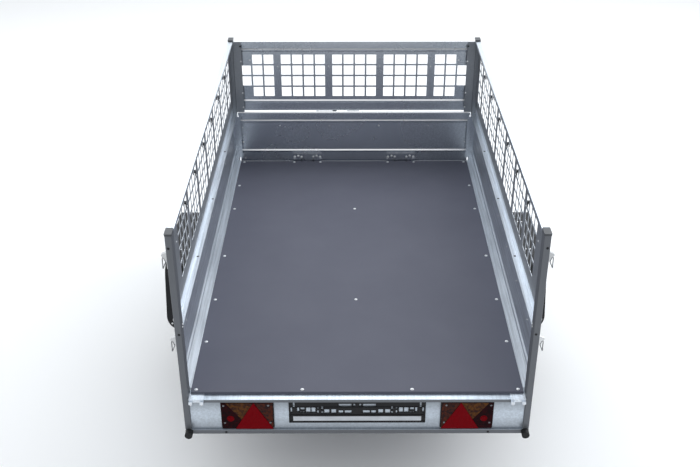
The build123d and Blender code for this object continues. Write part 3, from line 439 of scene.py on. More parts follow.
def bed_ends(zinc):
    """Dullness of the mesh sides: 1 on the rear posts, less on the front ones and inside the mesh."""
    along, height = zinc.part(zinc.place, "Y"), zinc.part(zinc.place, "Z")
    rear = zinc.calc("LESS_THAN", along, bed_rear + REAR_POST_END * MM)
    front = zinc.calc("GREATER_THAN", along, bed_rear + FRONT_POST_START * MM)
    ends = zinc.calc("MAXIMUM", rear, zinc.calc("MULTIPLY", front, FRONT_POST_SHARE))
    over = zinc.calc("GREATER_THAN", height, floor_top + MESH_FOOT * MM)
    under = zinc.spread(height, floor_top + MESH_HEAD * MM, floor_top + (MESH_HEAD + MASK_EDGE) * MM,
                        MESH_SHARE, 0.0)
    inside = zinc.calc("LESS_THAN", zinc.calc("ABSOLUTE", zinc.part(zinc.place, "X")), BED_INSIDE * MM)
    mesh = zinc.calc("MULTIPLY", zinc.calc("MULTIPLY", over, under), inside)
    return zinc.calc("MAXIMUM", ends, mesh)


def sill_shadow_and_foot(zinc):
    """Dullness of the rear panel: a painted shadow on the sill's lip below its hem and on the panel under
    it, fading downwards, and the duller foot below the lamps, with the panel darker towards the foot.
    """
    height = zinc.part(zinc.place, "Z")
    hem = zinc.calc("LESS_THAN", height, floor_top - HEM_DROP * MM)
    # Painted shadow: the sill's lip below the hem and the panel under it are darkened, fading downwards
    lip = zinc.spread(height, floor_top - (LIP_DROP + MASK_EDGE) * MM, floor_top - LIP_DROP * MM,
                      0.0, LIP_SHADOW_SHARE)
    under = zinc.spread(height, floor_top - SILL_SHADOW_DROP * MM, floor_top - LIP_DROP * MM, 0.0,
                        SILL_SHADOW_SHARE)
    top = zinc.calc("MULTIPLY", zinc.calc("ADD", lip, under), hem)
    foot = zinc.calc("LESS_THAN", height, floor_top - PANEL_FOOT_DROP * MM)
    fade = zinc.spread(height, floor_top - PANEL_FOOT_DROP * MM, floor_top - PANEL_FADE_DROP * MM,
                       PANEL_FADE_SHARE, 0.0)
    return zinc.calc("MAXIMUM", zinc.calc("MAXIMUM", foot, fade), top)


def whole(zinc):
    """The same full dullness all over."""
    return zinc.calc("ADD", 1.0, 0.0)


def plain_finish(name, colour, roughness, metallic=0.0, grain=300.0, depth=0.0001, gloss=0.5):
    """A moulded, cast or painted surface with slight cloudiness and a fine grain."""
    made = Finish(name, colour, roughness, metallic, gloss)
    darker = [PLAIN_SHADE * part for part in colour]
    clouds = made.noise(*PLAIN_CLOUDS)
    made.feed("Base Color", made.blend(made.spread(clouds, *NARROW_RANGE, 0.0, 1.0), darker, colour))
    made.feed("Roughness", made.spread(clouds, *WIDE_RANGE, PLAIN_DULLER * roughness,
                                       PLAIN_SLEEKER * roughness))
    made.bump(made.noise(grain, GRAIN_DETAIL), depth)
    return made.material


def floor_finish():
    """Dark film-faced plywood, faintly mottled."""
    board = Finish("film_faced_plywood", FLOOR_TONES[1], FLOOR_SHEEN[1], gloss=FLOOR_GLOSS)
    mottle = board.noise(*FLOOR_MOTTLE)
    board.feed("Base Color", board.blend(board.spread(mottle, *WIDE_RANGE, 0.0, 1.0), *FLOOR_TONES))
    board.feed("Roughness", board.spread(mottle, *WIDE_RANGE, *FLOOR_SHEEN))
    board.bump(board.noise(FLOOR_GRAIN, GRAIN_DETAIL), FLOOR_GRAIN_DEPTH, FLOOR_GRAIN_STRENGTH)
    return board.material


def lens_finish(name, colour, glow):
    """A moulded lamp lens with fine vertical flutes."""
    lens = Finish(name, colour, LENS_ROUGHNESS, gloss=LENS_GLOSS)
    flutes = lens.add("ShaderNodeTexWave", {"Vector": lens.place, "Scale": LENS_FLUTES}, bands_direction="X")
    lens.bump(flutes.outputs["Fac"], LENS_FLUTE_DEPTH, LENS_FLUTE_STRENGTH)
    patches = lens.noise(*LENS_PATCHES)
    lens.feed("Base Color", lens.blend(lens.spread(patches, *NARROW_RANGE, 0.0, 1.0), colour, glow))
    return lens.material


SHEET_TONES = ((0.78, 0.83, 0.89), (0.72, 0.77, 0.83))
PANEL_TONES = ((0.60, 0.66, 0.73), (0.54, 0.60, 0.67))
FRONT_TONES = ((0.62, 0.66, 0.71), (0.56, 0.60, 0.65))
FRAME_TONES = ((0.50, 0.53, 0.56), (0.42, 0.45, 0.48))
finishes = {
    "galvanised": galvanised_finish("galvanised_sheet", SHEET_TONES, SHEET_ROUGHNESS),
    "sheet_and_posts": galvanised_finish("galvanised_sheet_and_posts", SHEET_TONES, SHEET_ROUGHNESS,
                                         dullness=bed_ends),
    # rear panel: a painted shadow under the sill, and the duller foot
    "sheet_sill_shadow_and_foot": galvanised_finish("galvanised_panel_sill_shadow_and_foot", PANEL_TONES, SHEET_ROUGHNESS,
                                        dullness=sill_shadow_and_foot),
    # front boards and front posts, with a painted highlight on faces turned upwards
    "front_painted_highlight": galvanised_finish("galvanised_front_painted_highlight", FRONT_TONES, FRONT_ROUGHNESS,
                                     painted_top_highlights=True),
    "scuffed_sheet": galvanised_finish("galvanised_low_side", SHEET_TONES, SIDE_ROUGHNESS, scuffed=0.76),
    "post": galvanised_finish("galvanised_post", SHEET_TONES, SHEET_ROUGHNESS, dullness=whole),
    "frame": galvanised_finish("galvanised_frame", FRAME_TONES, roughness=0.45, metallic=0.5),
    "latch_steel": plain_finish("latch_steel", (0.20, 0.205, 0.215), 0.22, 0.95),
    "zinc": plain_finish("bright_zinc", (0.70, 0.71, 0.72), 0.28, 0.8),
    "stainless": plain_finish("bright_bolt_heads", (0.86, 0.87, 0.88), 0.3, 0.6),
    "floor_board": floor_finish(),
    "black_plastic": plain_finish("black_plastic", (0.011, 0.011, 0.013), 0.45, gloss=0.25),
    "cap_plastic": plain_finish("cap_plastic", (0.055, 0.060, 0.068), 0.35),
    "plate_band": plain_finish("pale_plastic", (0.62, 0.65, 0.70), 0.4),
    "rubber": plain_finish("black_rubber", (0.014, 0.014, 0.015), 0.6, gloss=0.3),
    "tyre": plain_finish("tyre_rubber", (0.020, 0.020, 0.022), 0.7, 0.0, 500.0, 0.0002, 0.3),
    "wheel_silver": plain_finish("silver_paint", (0.55, 0.56, 0.57), 0.35, 0.5),
    "hub_iron": plain_finish("dark_casting", (0.07, 0.07, 0.075), 0.6, 0.4, 120.0, 0.0004),
    "red_lens": lens_finish("reflector_red", (0.17, 0.0, 0.003), (0.15, 0.0, 0.003)),
    "bulb_lens": lens_finish("bulb_red", (0.17, 0.0, 0.003), (0.13, 0.0, 0.003)),
    "dark_red_lens": lens_finish("lens_dark_red", (0.008, 0.003, 0.004), (0.026, 0.002, 0.004)),
    "amber_lens": lens_finish("lens_amber", (0.115, 0.045, 0.012), (0.028, 0.012, 0.012)),
    "clear_lens": lens_finish("lens_clear", (0.085, 0.022, 0.012), (0.018, 0.012, 0.014)),
}
NODE_FINISHES = {              # nodes that don't take their slot's finish, left and right as one
    "post_caps": "cap_plastic", "low_side": "scuffed_sheet", "mesh_side": "sheet_and_posts",
    "rear_cross_member": "sheet_sill_shadow_and_foot", "rear_post": "post", "front_post": "front_painted_highlight",
    "front_mesh_board": "front_painted_highlight", "front_board": "front_painted_highlight", "side_member": "frame",
    "cross_members": "frame", "front_cross_member": "frame", "axle_beam": "frame", "swing_arm": "frame",
    "drawbar_beam": "frame"}


def dress_frame():
    """Gives every node of the CAD its finish."""
    for part in frame["record"]["subparts"]:
        kind = part["node"].removesuffix("_right").removesuffix("_left")
        solid = nodes[part["node"]]
        solid.data.materials.clear()
        solid.data.materials.append(finishes[NODE_FINISHES.get(kind, part["material_slot"])])


# -------- making pieces
def make_piece(name, mesh, body):
    """Shades a mesh and puts it in the scene as a piece that moves with a body."""
    for face in mesh.polygons:
        face.use_smooth = True
    mesh.set_sharp_from_angle(angle=SHARP_EDGE)
    piece = put(name, mesh)
    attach(piece, body)
    return piece


def form_piece(name, form, slot, finish=None, body="chassis"):
    """Makes a piece of a bmesh, its faces turned outwards, in the slot's finish or a given one."""
    bmesh.ops.recalc_face_normals(form, faces=form.faces)
    mesh = bpy.data.meshes.new(name)
    form.to_mesh(mesh)
    form.free()
    mesh.materials.append(finishes[finish or slot])
    return make_piece(name, mesh, body)


def solid_boxes(node):
    """Lowest and highest corners of each separate solid in a node, from its mesh."""
    form = bmesh.new()
    form.from_mesh(nodes[node].data)
    bmesh.ops.remove_doubles(form, verts=form.verts, dist=MERGE)
    unseen = set(form.verts)
    boxes = []
    while unseen:
        group = [unseen.pop()]
        for vert in group:
            for edge in vert.link_edges:
                other = edge.other_vert(vert)
                if other in unseen:
                    unseen.remove(other)
                    group.append(other)
        boxes.append([Vector([end(vert.co[axis] for vert in group) for axis in range(3)])
                      for end in (min, max)])
    form.free()
    return sorted(boxes, key=lambda box: tuple(box[0]))


def add_lathe(form, outline, centre, axis, steps):
    """Turns a closed outline of (along, radius) pairs in mm about an axis through the centre."""
    turn = Vector(UP).rotation_difference(Vector(axis)).to_matrix()
    outline = [(along * MM, radius * MM) for along, radius in outline]
    rings = []
    for step in range(steps):
        angle = math.tau * step / steps
        spots = [Vector((radius * math.cos(angle), radius * math.sin(angle), along))
                 for along, radius in outline]
        rings.append([form.verts.new(Vector(centre) + turn @ spot) for spot in spots])
    for step in range(steps):
        near, far = rings[step], rings[(step + 1) % steps]
        for k in range(len(outline)):
            m = (k + 1) % len(outline)
            form.faces.new((near[k], near[m], far[m], far[k]))
    bmesh.ops.remove_doubles(form, verts=form.verts, dist=MERGE)


def add_bar(form, low, high, bevel):
    """A rectangular bar between two corners, with its edges eased by the bevel in mm."""
    made = bmesh.ops.create_cube(form, size=1.0)["verts"]
    centre = (Vector(low) + Vector(high)) / 2
    size = Vector(high) - Vector(low)
    for vert in made:
        vert.co = centre + size * vert.co
    edges = list({edge for vert in made for edge in vert.link_edges})
    bmesh.ops.bevel(form, geom=edges, offset=bevel * MM, segments=BAR_EDGE_STEPS, affect="EDGES")


def add_prism(form, outline, run):
    """Extrudes a closed outline along a run and closes both ends."""
    near = [form.verts.new(point) for point in outline]
    far = [form.verts.new(Vector(point) + Vector(run)) for point in outline]
    form.faces.new(near)
    form.faces.new(far[::-1])
    for k in range(len(outline)):
        form.faces.new((near[k - 1], near[k], far[k], far[k - 1]))


def add_wire(form, points, radius):
    """A round wire along a run of points, closed at both ends."""
    last = len(points) - 1
    rings = []
    for k, point in enumerate(points):
        along = (points[min(k + 1, last)] - points[max(k - 1, 0)]).normalized()
        across = along.orthogonal() if not rings else across - across.project(along)
        across.normalize()
        other = along.cross(across)
        angles = [math.tau * side / WIRE_SIDES for side in range(WIRE_SIDES)]
        rings.append([form.verts.new(point + radius * (math.cos(angle) * across + math.sin(angle) * other))
                      for angle in angles])
    for near, far in zip(rings, rings[1:]):
        for side in range(WIRE_SIDES):
            form.faces.new((near[side], near[side - 1], far[side - 1], far[side]))
    form.faces.new(rings[0])
    form.faces.new(rings[-1])


# -------- what repeats, by Geometry Nodes
class Growth:
    """A geometry tree under construction, with an input of the given kind for each of its sizes."""

    def __init__(self, name, sizes):
        self.tree = bpy.data.node_groups.new(name, "GeometryNodeTree")
        self.keys = {}
        for label, kind in {"Geometry": "Geometry", **sizes, "Material": "Material"}.items():
            socket = self.tree.interface.new_socket(label, in_out="INPUT", socket_type="NodeSocket" + kind)
            self.keys[label] = socket.identifier
        self.tree.interface.new_socket("Geometry", in_out="OUTPUT", socket_type="NodeSocketGeometry")
        self.given = self.tree.nodes.new("NodeGroupInput").outputs

    def add(self, kind, inputs=None, **settings):
        return add_node(self.tree, kind, inputs, **settings).outputs[0]

    def calc(self, operation, first, second=0.0):
        return self.add("ShaderNodeMath", {0: first, 1: second}, operation=operation)

    def close(self, shape, turn):
        """Puts the shape on every given point, then makes it real and gives it the material."""
        placed = self.add("GeometryNodeInstanceOnPoints",
                          {"Points": self.given["Geometry"], "Instance": shape, "Rotation": turn})
        real = self.add("GeometryNodeRealizeInstances", {"Geometry": placed})
        painted = self.add("GeometryNodeSetMaterial", {"Geometry": real, "Material": self.given["Material"]})
        add_node(self.tree, "NodeGroupOutput", {"Geometry": painted})

    def facing(self):
        """The rotation that turns a shape's +Z to the point's facing direction and +X along its run."""
        facing = self.add("GeometryNodeInputNamedAttribute", {"Name": "facing"}, data_type="FLOAT_VECTOR")
        along = self.add("GeometryNodeInputNamedAttribute", {"Name": "along"}, data_type="FLOAT_VECTOR")
        upright = self.add("FunctionNodeAlignRotationToVector", {"Vector": facing}, axis="Z")
        return self.add("FunctionNodeAlignRotationToVector", {"Rotation": upright, "Vector": along},
                        axis="X", pivot_axis="Z")


def fastener_tree():
    """A bolt, nut or rivet: a washer and a head whose squareness runs from a dome to a flat-sided nut."""
    growth = Growth("fastener", FASTENER_SIZES)
    given = growth.given
    share = growth.add("GeometryNodeSplineParameter")
    line = growth.add("GeometryNodeCurvePrimitiveLine", {"End": (0.0, 0.0, 1.0)})
    line = growth.add("GeometryNodeResampleCurve", {"Curve": line, "Count": HEAD_RINGS})
    rise = growth.calc("ADD", growth.calc("MULTIPLY", share, given["Head height"]), given["Washer height"])
    place = growth.add("ShaderNodeCombineXYZ", {"Z": rise})
    line = growth.add("GeometryNodeSetPosition", {"Geometry": line, "Position": place})
    drop = growth.calc("POWER", growth.calc("MULTIPLY", share, HEAD_CROWN), given["Squareness"])
    width = growth.calc("MULTIPLY", growth.calc("SQRT", growth.calc("SUBTRACT", 1.0, drop)),
                        given["Head radius"])
    section = growth.add("GeometryNodeCurvePrimitiveCircle", {"Resolution": given["Sides"], "Radius": 1.0})
    head = growth.add("GeometryNodeCurveToMesh",
                      {"Curve": line, "Profile Curve": section, "Scale": width, "Fill Caps": True})
    washer = growth.add("GeometryNodeMeshCylinder",
                        {"Vertices": WASHER_SIDES, "Radius": given["Washer radius"],
                         "Depth": given["Washer height"]})
    lift = growth.add("ShaderNodeCombineXYZ", {"Z": growth.calc("MULTIPLY", given["Washer height"], 0.5)})
    washer = growth.add("GeometryNodeTransform", {"Geometry": washer, "Translation": lift})
    both = growth.tree.nodes.new("GeometryNodeJoinGeometry")
    for part in (head, washer):
        growth.tree.links.new(part, both.inputs[0])
    growth.close(both.outputs[0], growth.facing())
    return growth


def lug_tree():
    """A tapered block, such as a tread lug, longest along its run."""
    growth = Growth("tapered_block", LUG_SIZES)
    given = growth.given
    block = growth.add("GeometryNodeMeshCone",
                       {"Vertices": SQUARE_SIDES, "Radius Bottom": SQUARE_RADIUS, "Depth": 1.0,
                        "Radius Top": growth.calc("MULTIPLY", given["Top share"], SQUARE_RADIUS)})
    square = growth.add("GeometryNodeTransform", {"Geometry": block, "Rotation": (0.0, 0.0, SQUARE_TURN)})
    size = growth.add("ShaderNodeCombineXYZ",
                      {"X": given["Length"], "Y": given["Width"], "Z": given["Height"]})
    shape = growth.add("GeometryNodeTransform", {"Geometry": square, "Scale": size})
    growth.close(shape, growth.facing())
    return growth


def grow(name, body, growth, sizes, finish, spots):
    """Puts a tree's shape on spots of (place, facing, along) and makes the result one plain piece."""
    points = bpy.data.meshes.new(name + "_spots")
    points.from_pydata([tuple(spot[0]) for spot in spots], [], [])
    for key, label in ((1, "facing"), (2, "along")):
        attribute = points.attributes.new(label, "FLOAT_VECTOR", "POINT")
        attribute.data.foreach_set("vector", [part for spot in spots for part in spot[key]])
    holder = put(name + "_holder", points)
    modifier = holder.modifiers.new(name, "NODES")
    modifier.node_group = growth.tree
    for label, value in sizes.items():
        modifier[growth.keys[label]] = value
    modifier[growth.keys["Material"]] = finishes[finish]
    bpy.context.view_layer.update()
    evaluated = holder.evaluated_get(bpy.context.evaluated_depsgraph_get())
    mesh = bpy.data.meshes.new_from_object(evaluated)
    mesh.name = name
    holder.modifiers.clear()
    bpy.data.objects.remove(holder)
    make_piece(name, mesh, body)


def fasten(name, kind, places, finish="stainless", body="chassis"):
    """A set of bolts, nuts or rivets of one kind on places with the direction that each faces."""
    *lengths, sides, squareness = FASTENERS[kind]
    sizes = dict(zip(FASTENER_SIZES, [*(length * MM for length in lengths), sides, squareness]))
    spots = [(place, facing, Vector(facing).orthogonal().normalized()) for place, facing in places]
    grow(name, body, fasteners, sizes, finish, spots)


# -------- fasteners and fittings of the bed
def pairs(spots, facing):
    """Bed places on both sides, each with the direction that it faces there."""
    return [(bed_point(side * x, y, z), (side * facing[0], facing[1], facing[2]))
            for x, y, z in spots for side in BOTH]


def bolt_floor():
    """Coach bolts through the floor into the cross-members."""
    places = [(FLOOR_BOLT_X, y, 0.0) for y in FLOOR_BOLT_ROWS]
    places.append((FLOOR_BOLT_REAR_X, FLOOR_BOLT_ROWS[0], 0.0))
    places += [(FRONT_HINGE_X + side * FRONT_BOLT_OFFSET, FLOOR_BOLT_ROWS[-1], 0.0) for side in BOTH]
    spots = pairs(places, UP) + [(bed_point(0.0, y, 0.0), UP) for y in FLOOR_BOLT_MIDDLE_ROWS]
    fasten("floor_bolts", "floor bolt", spots)


def rivet_sides():
    """Rivets in the low sides' sheet, seen inside and out, and the dark plugs in their top flanges."""
    rows = [SIDE_RIVET_START + k * SIDE_RIVET_PITCH for k in range(SIDE_RIVET_COUNT)]
    spots = pairs([(SIDE_SHEET_INNER, y, SIDE_RIVET_Z) for y in rows], LEFT)
    spots += pairs([(BED_HALF, y, SIDE_RIVET_Z) for y in rows], RIGHT)
    fasten("side_rivets", "rivet", spots)
    rows = [RAIL_PLUG_START + k * RAIL_PLUG_PITCH for k in range(RAIL_PLUG_COUNT)]
    plugs = pairs([(RAIL_PLUG_X, y, LOW_TOP) for y in rows], UP)
    fasten("rail_plugs", "plug", plugs, "black_plastic")


def fit_cover_hooks():
    """Black hooks for a cover's cord on the outside of the mesh sides, each on one rivet."""
    form = bmesh.new()
    rows = [HOOK_START + k * HOOK_PITCH for k in range(HOOK_COUNT)]
    for side in BOTH:
        for y in rows:
            outline = [bed_point(side * (BED_HALF + out), y - HOOK_WIDTH / 2, HOOK_Z + rise)
                       for out, rise in HOOK_SECTION]
            add_prism(form, outline, (0.0, HOOK_WIDTH * MM, 0.0))
    form_piece("cover_hooks", form, "black_plastic")
    spots = pairs([(SIDE_SHEET_INNER, y, HOOK_Z - HOOK_RIVET_DROP) for y in rows], LEFT)
    fasten("hook_rivets", "rivet", spots)


def fasten_posts():
    """Plugged holes in the posts' rear faces and the bolts that join posts and boards."""
    fasten("post_plugs", "plug", pairs(POST_PLUGS, BACK), "black_plastic")
    strips = pairs([(STRIP_X, STRIP_FACE_Y, z) for z in STRIP_RIVETS_Z], BACK)
    fasten("post_rivets", "rivet", pairs(POST_RIVETS, LEFT) + strips)
    outer = pairs([(BED_HALF, y, z) for y in LATCH_ROWS for z in LATCH_BOLTS_Z], RIGHT)
    fasten("post_bolts", "bolt", outer)


def fasten_front():
    """Rivets of the front mesh board and the bolts and rivets of the folding board below it."""
    for name, body, places in (("front_mesh_rivets", "chassis", FRONT_MESH_RIVETS),
                               ("front_board_rivets", "front_gate", FRONT_BOARD_RIVETS)):
        spots = pairs([(x, FRONT_SHEET_Y, z) for x, z in places], BACK)
        fasten(name, "rivet", spots, body=body)
    hinge = [(FRONT_HINGE_X + side * offset, FRONT_PLATE_Y, z)
             for side in BOTH for offset, z in FRONT_HINGE_BOLTS]
    fasten("front_board_bolts", "floor bolt", pairs(hinge, BACK), body="front_gate")


def fit_latches():
    """Over-centre latches on the posts' outer faces: a plate, a folded ear and a hanging wire loop."""
    form, loops = bmesh.new(), bmesh.new()
    for low, high in solid_boxes("board_latches"):
        side = 1 if low.x > 0 else -1
        y = (low.y + high.y) / 2
        top = high.z

        def at(out, across, drop):
            return Vector((side * (bed_half + out * MM), y + across * MM, top - drop * MM))

        add_bar(form, at(0.0, -LATCH_HALF, LATCH_HEIGHT), at(LATCH_PLATE, LATCH_HALF, 0.0), LATCH_EDGE)
        ear = [at(out, -LATCH_EAR_HALF, drop) for out, drop in LATCH_EAR]
        add_prism(form, ear, (0.0, 2 * LATCH_EAR_HALF * MM, 0.0))
        add_wire(loops, [at(*spot) for spot in LATCH_LOOP], LATCH_WIRE * MM)
    latches = form_piece("latches", form, "zinc")
    form_piece("latch_loops", loops, "zinc", "latch_steel")
    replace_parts(latches, "board_latches")


# -------- rear fittings
def cut_lines(low, high, middles, widths):
    """The two ends and both edges of each opening, in order."""
    lines = {low, high}
    for place, width in zip(middles, widths):
        lines |= {place - width / 2, place + width / 2}
    return sorted(lines)


def add_pierced_sheet(form, openings, front, top):
    """The holder's sheet in its front plane, as squares between the openings."""
    across, along, widths, heights = zip(*openings)
    xs = cut_lines(-HOLDER_HALF, HOLDER_HALF, across, widths)
    zs = cut_lines(-HOLDER_HEIGHT, 0.0, along, heights)
    for x0, x1 in zip(xs, xs[1:]):
        for z0, z1 in zip(zs, zs[1:]):
            x, z = (x0 + x1) / 2, (z0 + z1) / 2
            if any(abs(x - ox) < wide / 2 and abs(z - oz) < tall / 2 for ox, oz, wide, tall in openings):
                continue
            corners = ((x0, z0), (x1, z0), (x1, z1), (x0, z1))
            form.faces.new([form.verts.new((cx * MM, front, top + cz * MM)) for cx, cz in corners])
    bmesh.ops.remove_doubles(form, verts=form.verts, dist=MERGE)


def fit_plate_holder():
    """A black number plate holder pierced by clip openings, with a bare pale band along its foot."""
    low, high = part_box("plate_holder")
    top = high[2]
    front = low[1] + HOLDER_RIM_DEPTH * MM
    back = front + HOLDER_LAP * MM
    openings = [(side * x, HOLDER_STRETCH * z, wide, HOLDER_STRETCH * tall)
                for x, z, wide, tall in HOLDER_OPENINGS for side in BOTH]
    form = bmesh.new()
    add_pierced_sheet(form, openings, front, top)
    bmesh.ops.solidify(form, geom=form.faces, thickness=(high[1] - low[1]) / 2)
    for z0, z1 in HOLDER_BARS:
        add_bar(form, (low[0], low[1], top + z0 * MM), (high[0], back, top + z1 * MM), HOLDER_EDGE)
    for side in BOTH:
        x0, x1 = sorted((side * HOLDER_HALF * MM, side * (HOLDER_HALF - HOLDER_END) * MM))
        add_bar(form, (x0, low[1], top - HOLDER_HEIGHT * MM), (x1, back, top), HOLDER_EDGE)
    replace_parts(form_piece("plate_frame", form, "black_plastic"), "plate_holder")
    form = bmesh.new()
    z0, z1 = HOLDER_BAND
    half = HOLDER_BAND_HALF * MM
    add_bar(form, (-half, low[1] + HOLDER_BAND_DEPTH * MM, top + z0 * MM), (half, back, top + z1 * MM),
            HOLDER_BAND_EDGE)
    form_piece("plate_band", form, "black_plastic", "plate_band")


def fit_lamp_details():
    """Screws and the round bulb optics of the rear lamps."""
    fasten("lamp_screws", "rivet", pairs(LAMP_SCREWS, BACK), "latch_steel")
    form = bmesh.new()
    for side in BOTH:
        add_lathe(form, BULB_OUTLINE, bed_point(side * BULB_X, LENS_FACE_Y, BULB_Z), BACK, BULB_STEPS)
    form_piece("bulb_optics", form, "dark_red_lens", "bulb_lens")


# -------- wheels
def tread_spots(centre, side):
    """Places, outward directions and runs of the tread's lugs, every other row half a step on."""
    spots = []
    for row, across in enumerate(TREAD_ROWS):
        skew = TREAD_SKEW * (row - len(TREAD_ROWS) // 2) * side
        for k in range(TREAD_COUNT):
            angle = math.tau * (k + 0.5 * (row % 2)) / TREAD_COUNT
            out = Vector((0.0, math.cos(angle), math.sin(angle)))
            run = Vector((skew, -math.sin(angle), math.cos(angle))).normalized()
            spots.append((centre + Vector((across * MM, 0.0, 0.0)) + (TREAD_BASE * MM) * out, out, run))
    return spots


def fit_tyres():
    """Radial tyres: a turned carcass with side ribs, and a tread of tapered lugs in five rows."""
    sizes = dict(zip(LUG_SIZES, [*(length * MM for length in TREAD_LUG), TREAD_TOP_SHARE]))
    quarter = [(tyre_width / 2 / MM - inset, radius) for inset, radius in TYRE_SECTION]
    outline = quarter + [(-along, radius) for along, radius in reversed(quarter)]
    for name, side in WHEELS:
        body = "wheel_" + name
        centre = Vector((side * tyre_x, axle_y, axle_z))
        form = bmesh.new()
        add_lathe(form, outline, centre, RIGHT, TYRE_STEPS)
        carcass = form_piece("tyre_carcass_" + name, form, "tyre", body=body)
        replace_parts(carcass, "tyre_" + name)
        grow("tread_" + name, body, blocks, sizes, "tyre", tread_spots(centre, side))


def fit_wheel_bolts():
    """Wheel bolts, a pressed dust cap and a valve on each wheel."""
    for name, side in WHEELS:
        body = "wheel_" + name
        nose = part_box("hub_" + name)[1 if side > 0 else 0][0]
        seat = side * (tyre_x + WHEEL_DISC_FACE * MM)
        out = Vector((side, 0.0, 0.0))

        def on_disc(radius, angle):
            return (seat, axle_y + radius * MM * math.cos(angle), axle_z + radius * MM * math.sin(angle))

        angles = [math.tau * (k + 0.5) / WHEEL_BOLTS for k in range(WHEEL_BOLTS)]
        spots = [(on_disc(WHEEL_BOLT_RADIUS, angle), out) for angle in angles]
        fasten("wheel_bolts_" + name, "wheel bolt", spots, "zinc", body)
        form = bmesh.new()
        add_lathe(form, DUST_CAP, (nose, axle_y, axle_z), out, DUST_CAP_STEPS)
        form_piece("dust_cap_" + name, form, "zinc", body=body)
        form = bmesh.new()
        add_lathe(form, VALVE_OUTLINE, on_disc(VALVE_RADIUS, math.radians(VALVE_TURN)), out, VALVE_STEPS)
        form_piece("valve_" + name, form, "rubber", body=body)


# -------- jockey wheel, coupling and underside
def fit_jockey_wheel():
    """A solid rubber tyre on a ribbed rim in silver paint."""
    centre = Vector(middle("jockey_wheel"))
    form = bmesh.new()
    add_lathe(form, ROLLER_TYRE, centre, RIGHT, ROLLER_TYRE_STEPS)
    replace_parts(form_piece("jockey_tyre", form, "rubber", body="jockey_roller"), "jockey_wheel")
    form = bmesh.new()
    for outline in (ROLLER_HUB, ROLLER_WEB, ROLLER_RING):
        add_lathe(form, outline, centre, RIGHT, ROLLER_RIM_STEPS)
    for k in range(ROLLER_RIBS):
        turn = Matrix.Rotation(math.tau * k / ROLLER_RIBS, 3, "X")
        outline = [centre + turn @ Vector((x * MM, -ROLLER_RIB_HALF * MM, r * MM)) for x, r in ROLLER_RIB]
        add_prism(form, outline, turn @ Vector((0.0, 2 * ROLLER_RIB_HALF * MM, 0.0)))
    form_piece("jockey_rim", form, "wheel_silver", body="jockey_roller")


def fit_jockey_leg():
    """Crank sleeve, clamp handle and nuts of the jockey wheel."""
    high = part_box("jockey_tube")[1]
    leg_y = middle("jockey_tube")[1]
    wheel_x, wheel_y, wheel_z = middle("jockey_wheel")
    form = bmesh.new()
    add_lathe(form, CRANK_SLEEVE, (high[0] - CRANK_PIN * MM, leg_y, high[2]), UP, CRANK_STEPS)
    form_piece("crank_sleeve", form, "black_plastic")
    seat = Vector((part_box("jockey_clamp")[0][0], leg_y, middle("jockey_clamp")[2]))
    form = bmesh.new()
    add_lathe(form, CLAMP_SPINDLE, seat, LEFT, CLAMP_STEPS)
    add_lathe(form, CLAMP_BAR, seat + Vector(LEFT) * CLAMP_BAR_OUT * MM, UP, CLAMP_STEPS)
    form_piece("clamp_handle", form, "zinc")
    crank_top = (wheel_x, leg_y, high[2] - CRANK_GRIP_LENGTH * MM)
    fasten("crank_nut", "bolt", [(crank_top, UP)], "zinc")
    nuts = [((end[0], wheel_y, wheel_z), facing)
            for end, facing in zip(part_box("jockey_fork"), (LEFT, RIGHT))]
    fasten("fork_nuts", "wheel bolt", nuts, "zinc", "jockey_castor")


def fit_coupling():
    """Bolts of the coupling and the moulded sleeve on its hand grip."""
    low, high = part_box("coupling_head")
    plate_top = low[2] + COUPLING_PLATE * MM
    bolt_z = plate_top + COUPLING_BOLT_RISE * MM
    spots = [((side * x * MM, high[1] - back * MM, plate_top), UP)
             for x, back in COUPLING_PLATE_BOLTS for side in BOTH]
    spots += [((side * COUPLING_HALF * MM, high[1] - back * MM, bolt_z), (side, 0.0, 0.0))
              for back in COUPLING_CROSS_BOLTS for side in BOTH]
    fasten("coupling_bolts", "bolt", spots, "zinc")
    form = bmesh.new()
    outline = [(-GRIP_HALF * MM, high[1] - back * MM, high[2] - drop * MM) for back, drop in GRIP_SIDE]
    add_prism(form, outline, (2 * GRIP_HALF * MM, 0.0, 0.0))
    bmesh.ops.recalc_face_normals(form, faces=form.faces)
    edges = [edge for edge in form.edges if edge.calc_face_angle(0.0) > GRIP_EDGE_ANGLE]
    bmesh.ops.bevel(form, geom=edges, offset=GRIP_EDGE * MM, segments=GRIP_EDGE_STEPS, affect="EDGES")
    form_piece("coupling_grip", form, "black_plastic")


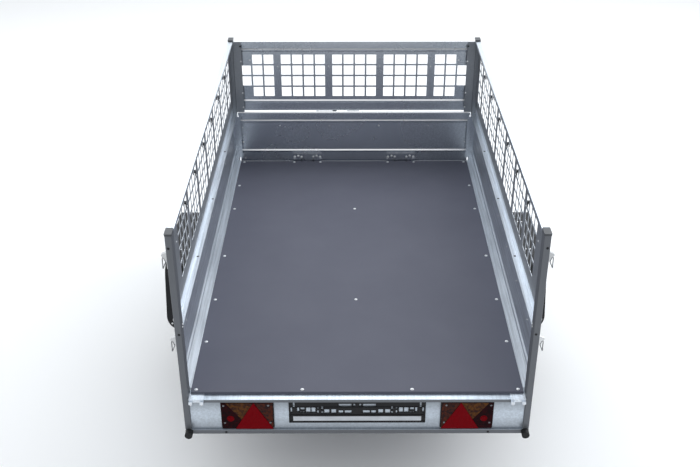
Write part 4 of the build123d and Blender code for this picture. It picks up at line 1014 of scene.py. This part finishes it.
def bolt_underside():
    """Bolts under the drawbar's beams and the axle."""
    low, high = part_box("drawbar_beam_right")
    half = BEAM_HALF * MM

    def beam_x(y):
        """Across to the beam's middle line, which widens towards the rear."""
        return low[0] + half + (high[0] - low[0] - 2 * half) / (high[1] - low[1]) * (high[1] - y)

    rows = [(first.y + last.y) / 2 for first, last in solid_boxes("cross_members")]
    rows.append(middle("front_cross_member")[1])
    spots = [(side * beam_x(y), y, low[2]) for y in rows if y > low[1] + half for side in BOTH]
    y = middle("axle_beam")[1]
    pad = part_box("axle_beam")[1][2] - AXLE_PAD * MM
    spots += [(side * (beam_x(y) + step * AXLE_BOLT_STEP * MM), y + row * AXLE_BOLT_ROW * MM, pad)
              for side in BOTH for step in BOTH for row in BOTH]
    fasten("underside_bolts", "bolt", [(spot, DOWN) for spot in spots], "zinc")


def fasten_mudguards():
    """Bright bolts in the mudguards' rear walls and studs on their tops."""
    top = (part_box("mudguard_right")[1][2] - floor_top) / MM
    studs = [(x, y, top) for x in GUARD_STUD_X for y in GUARD_STUD_Y]
    spots = pairs(studs, UP) + pairs([GUARD_BOLT], GUARD_BOLT_FACING)
    fasten("mudguard_bolts", "rivet", spots)


def plug_holes():
    """Dark plugs and slots in the rear foot, the front corner strips and the floor by the front hinges."""
    holes = pairs([(FOOT_HOLE_X, 0.0, FOOT_HOLE_Z), (STRIP_X, STRIP_FACE_Y, STRIP_HOLE_Z)], BACK)
    slots = [(FRONT_HINGE_X + side * FRONT_SLOT_OFFSET, FRONT_SLOT_Y, 0.0) for side in BOTH]
    fasten("hole_plugs", "plug", holes + pairs(slots, UP), "black_plastic")
    knobs = [(HINGE_X + side * HINGE_KNOB_OFFSET, HINGE_KNOB_Y, HINGE_KNOB_Z) for side in BOTH]
    fasten("tail_hinge_pins", "rivet", pairs(knobs, BACK))


make_camera()
make_softboxes()
make_sky()
make_ground()
dress_frame()
fasteners = fastener_tree()
blocks = lug_tree()
bolt_floor()
rivet_sides()
fit_cover_hooks()
fasten_posts()
fasten_front()
fit_latches()
fit_plate_holder()
fit_lamp_details()
fit_tyres()
fit_wheel_bolts()
fit_jockey_wheel()
fit_jockey_leg()
fit_coupling()
bolt_underside()
fasten_mudguards()
plug_holes()
scene.view_settings.view_transform = "Standard"
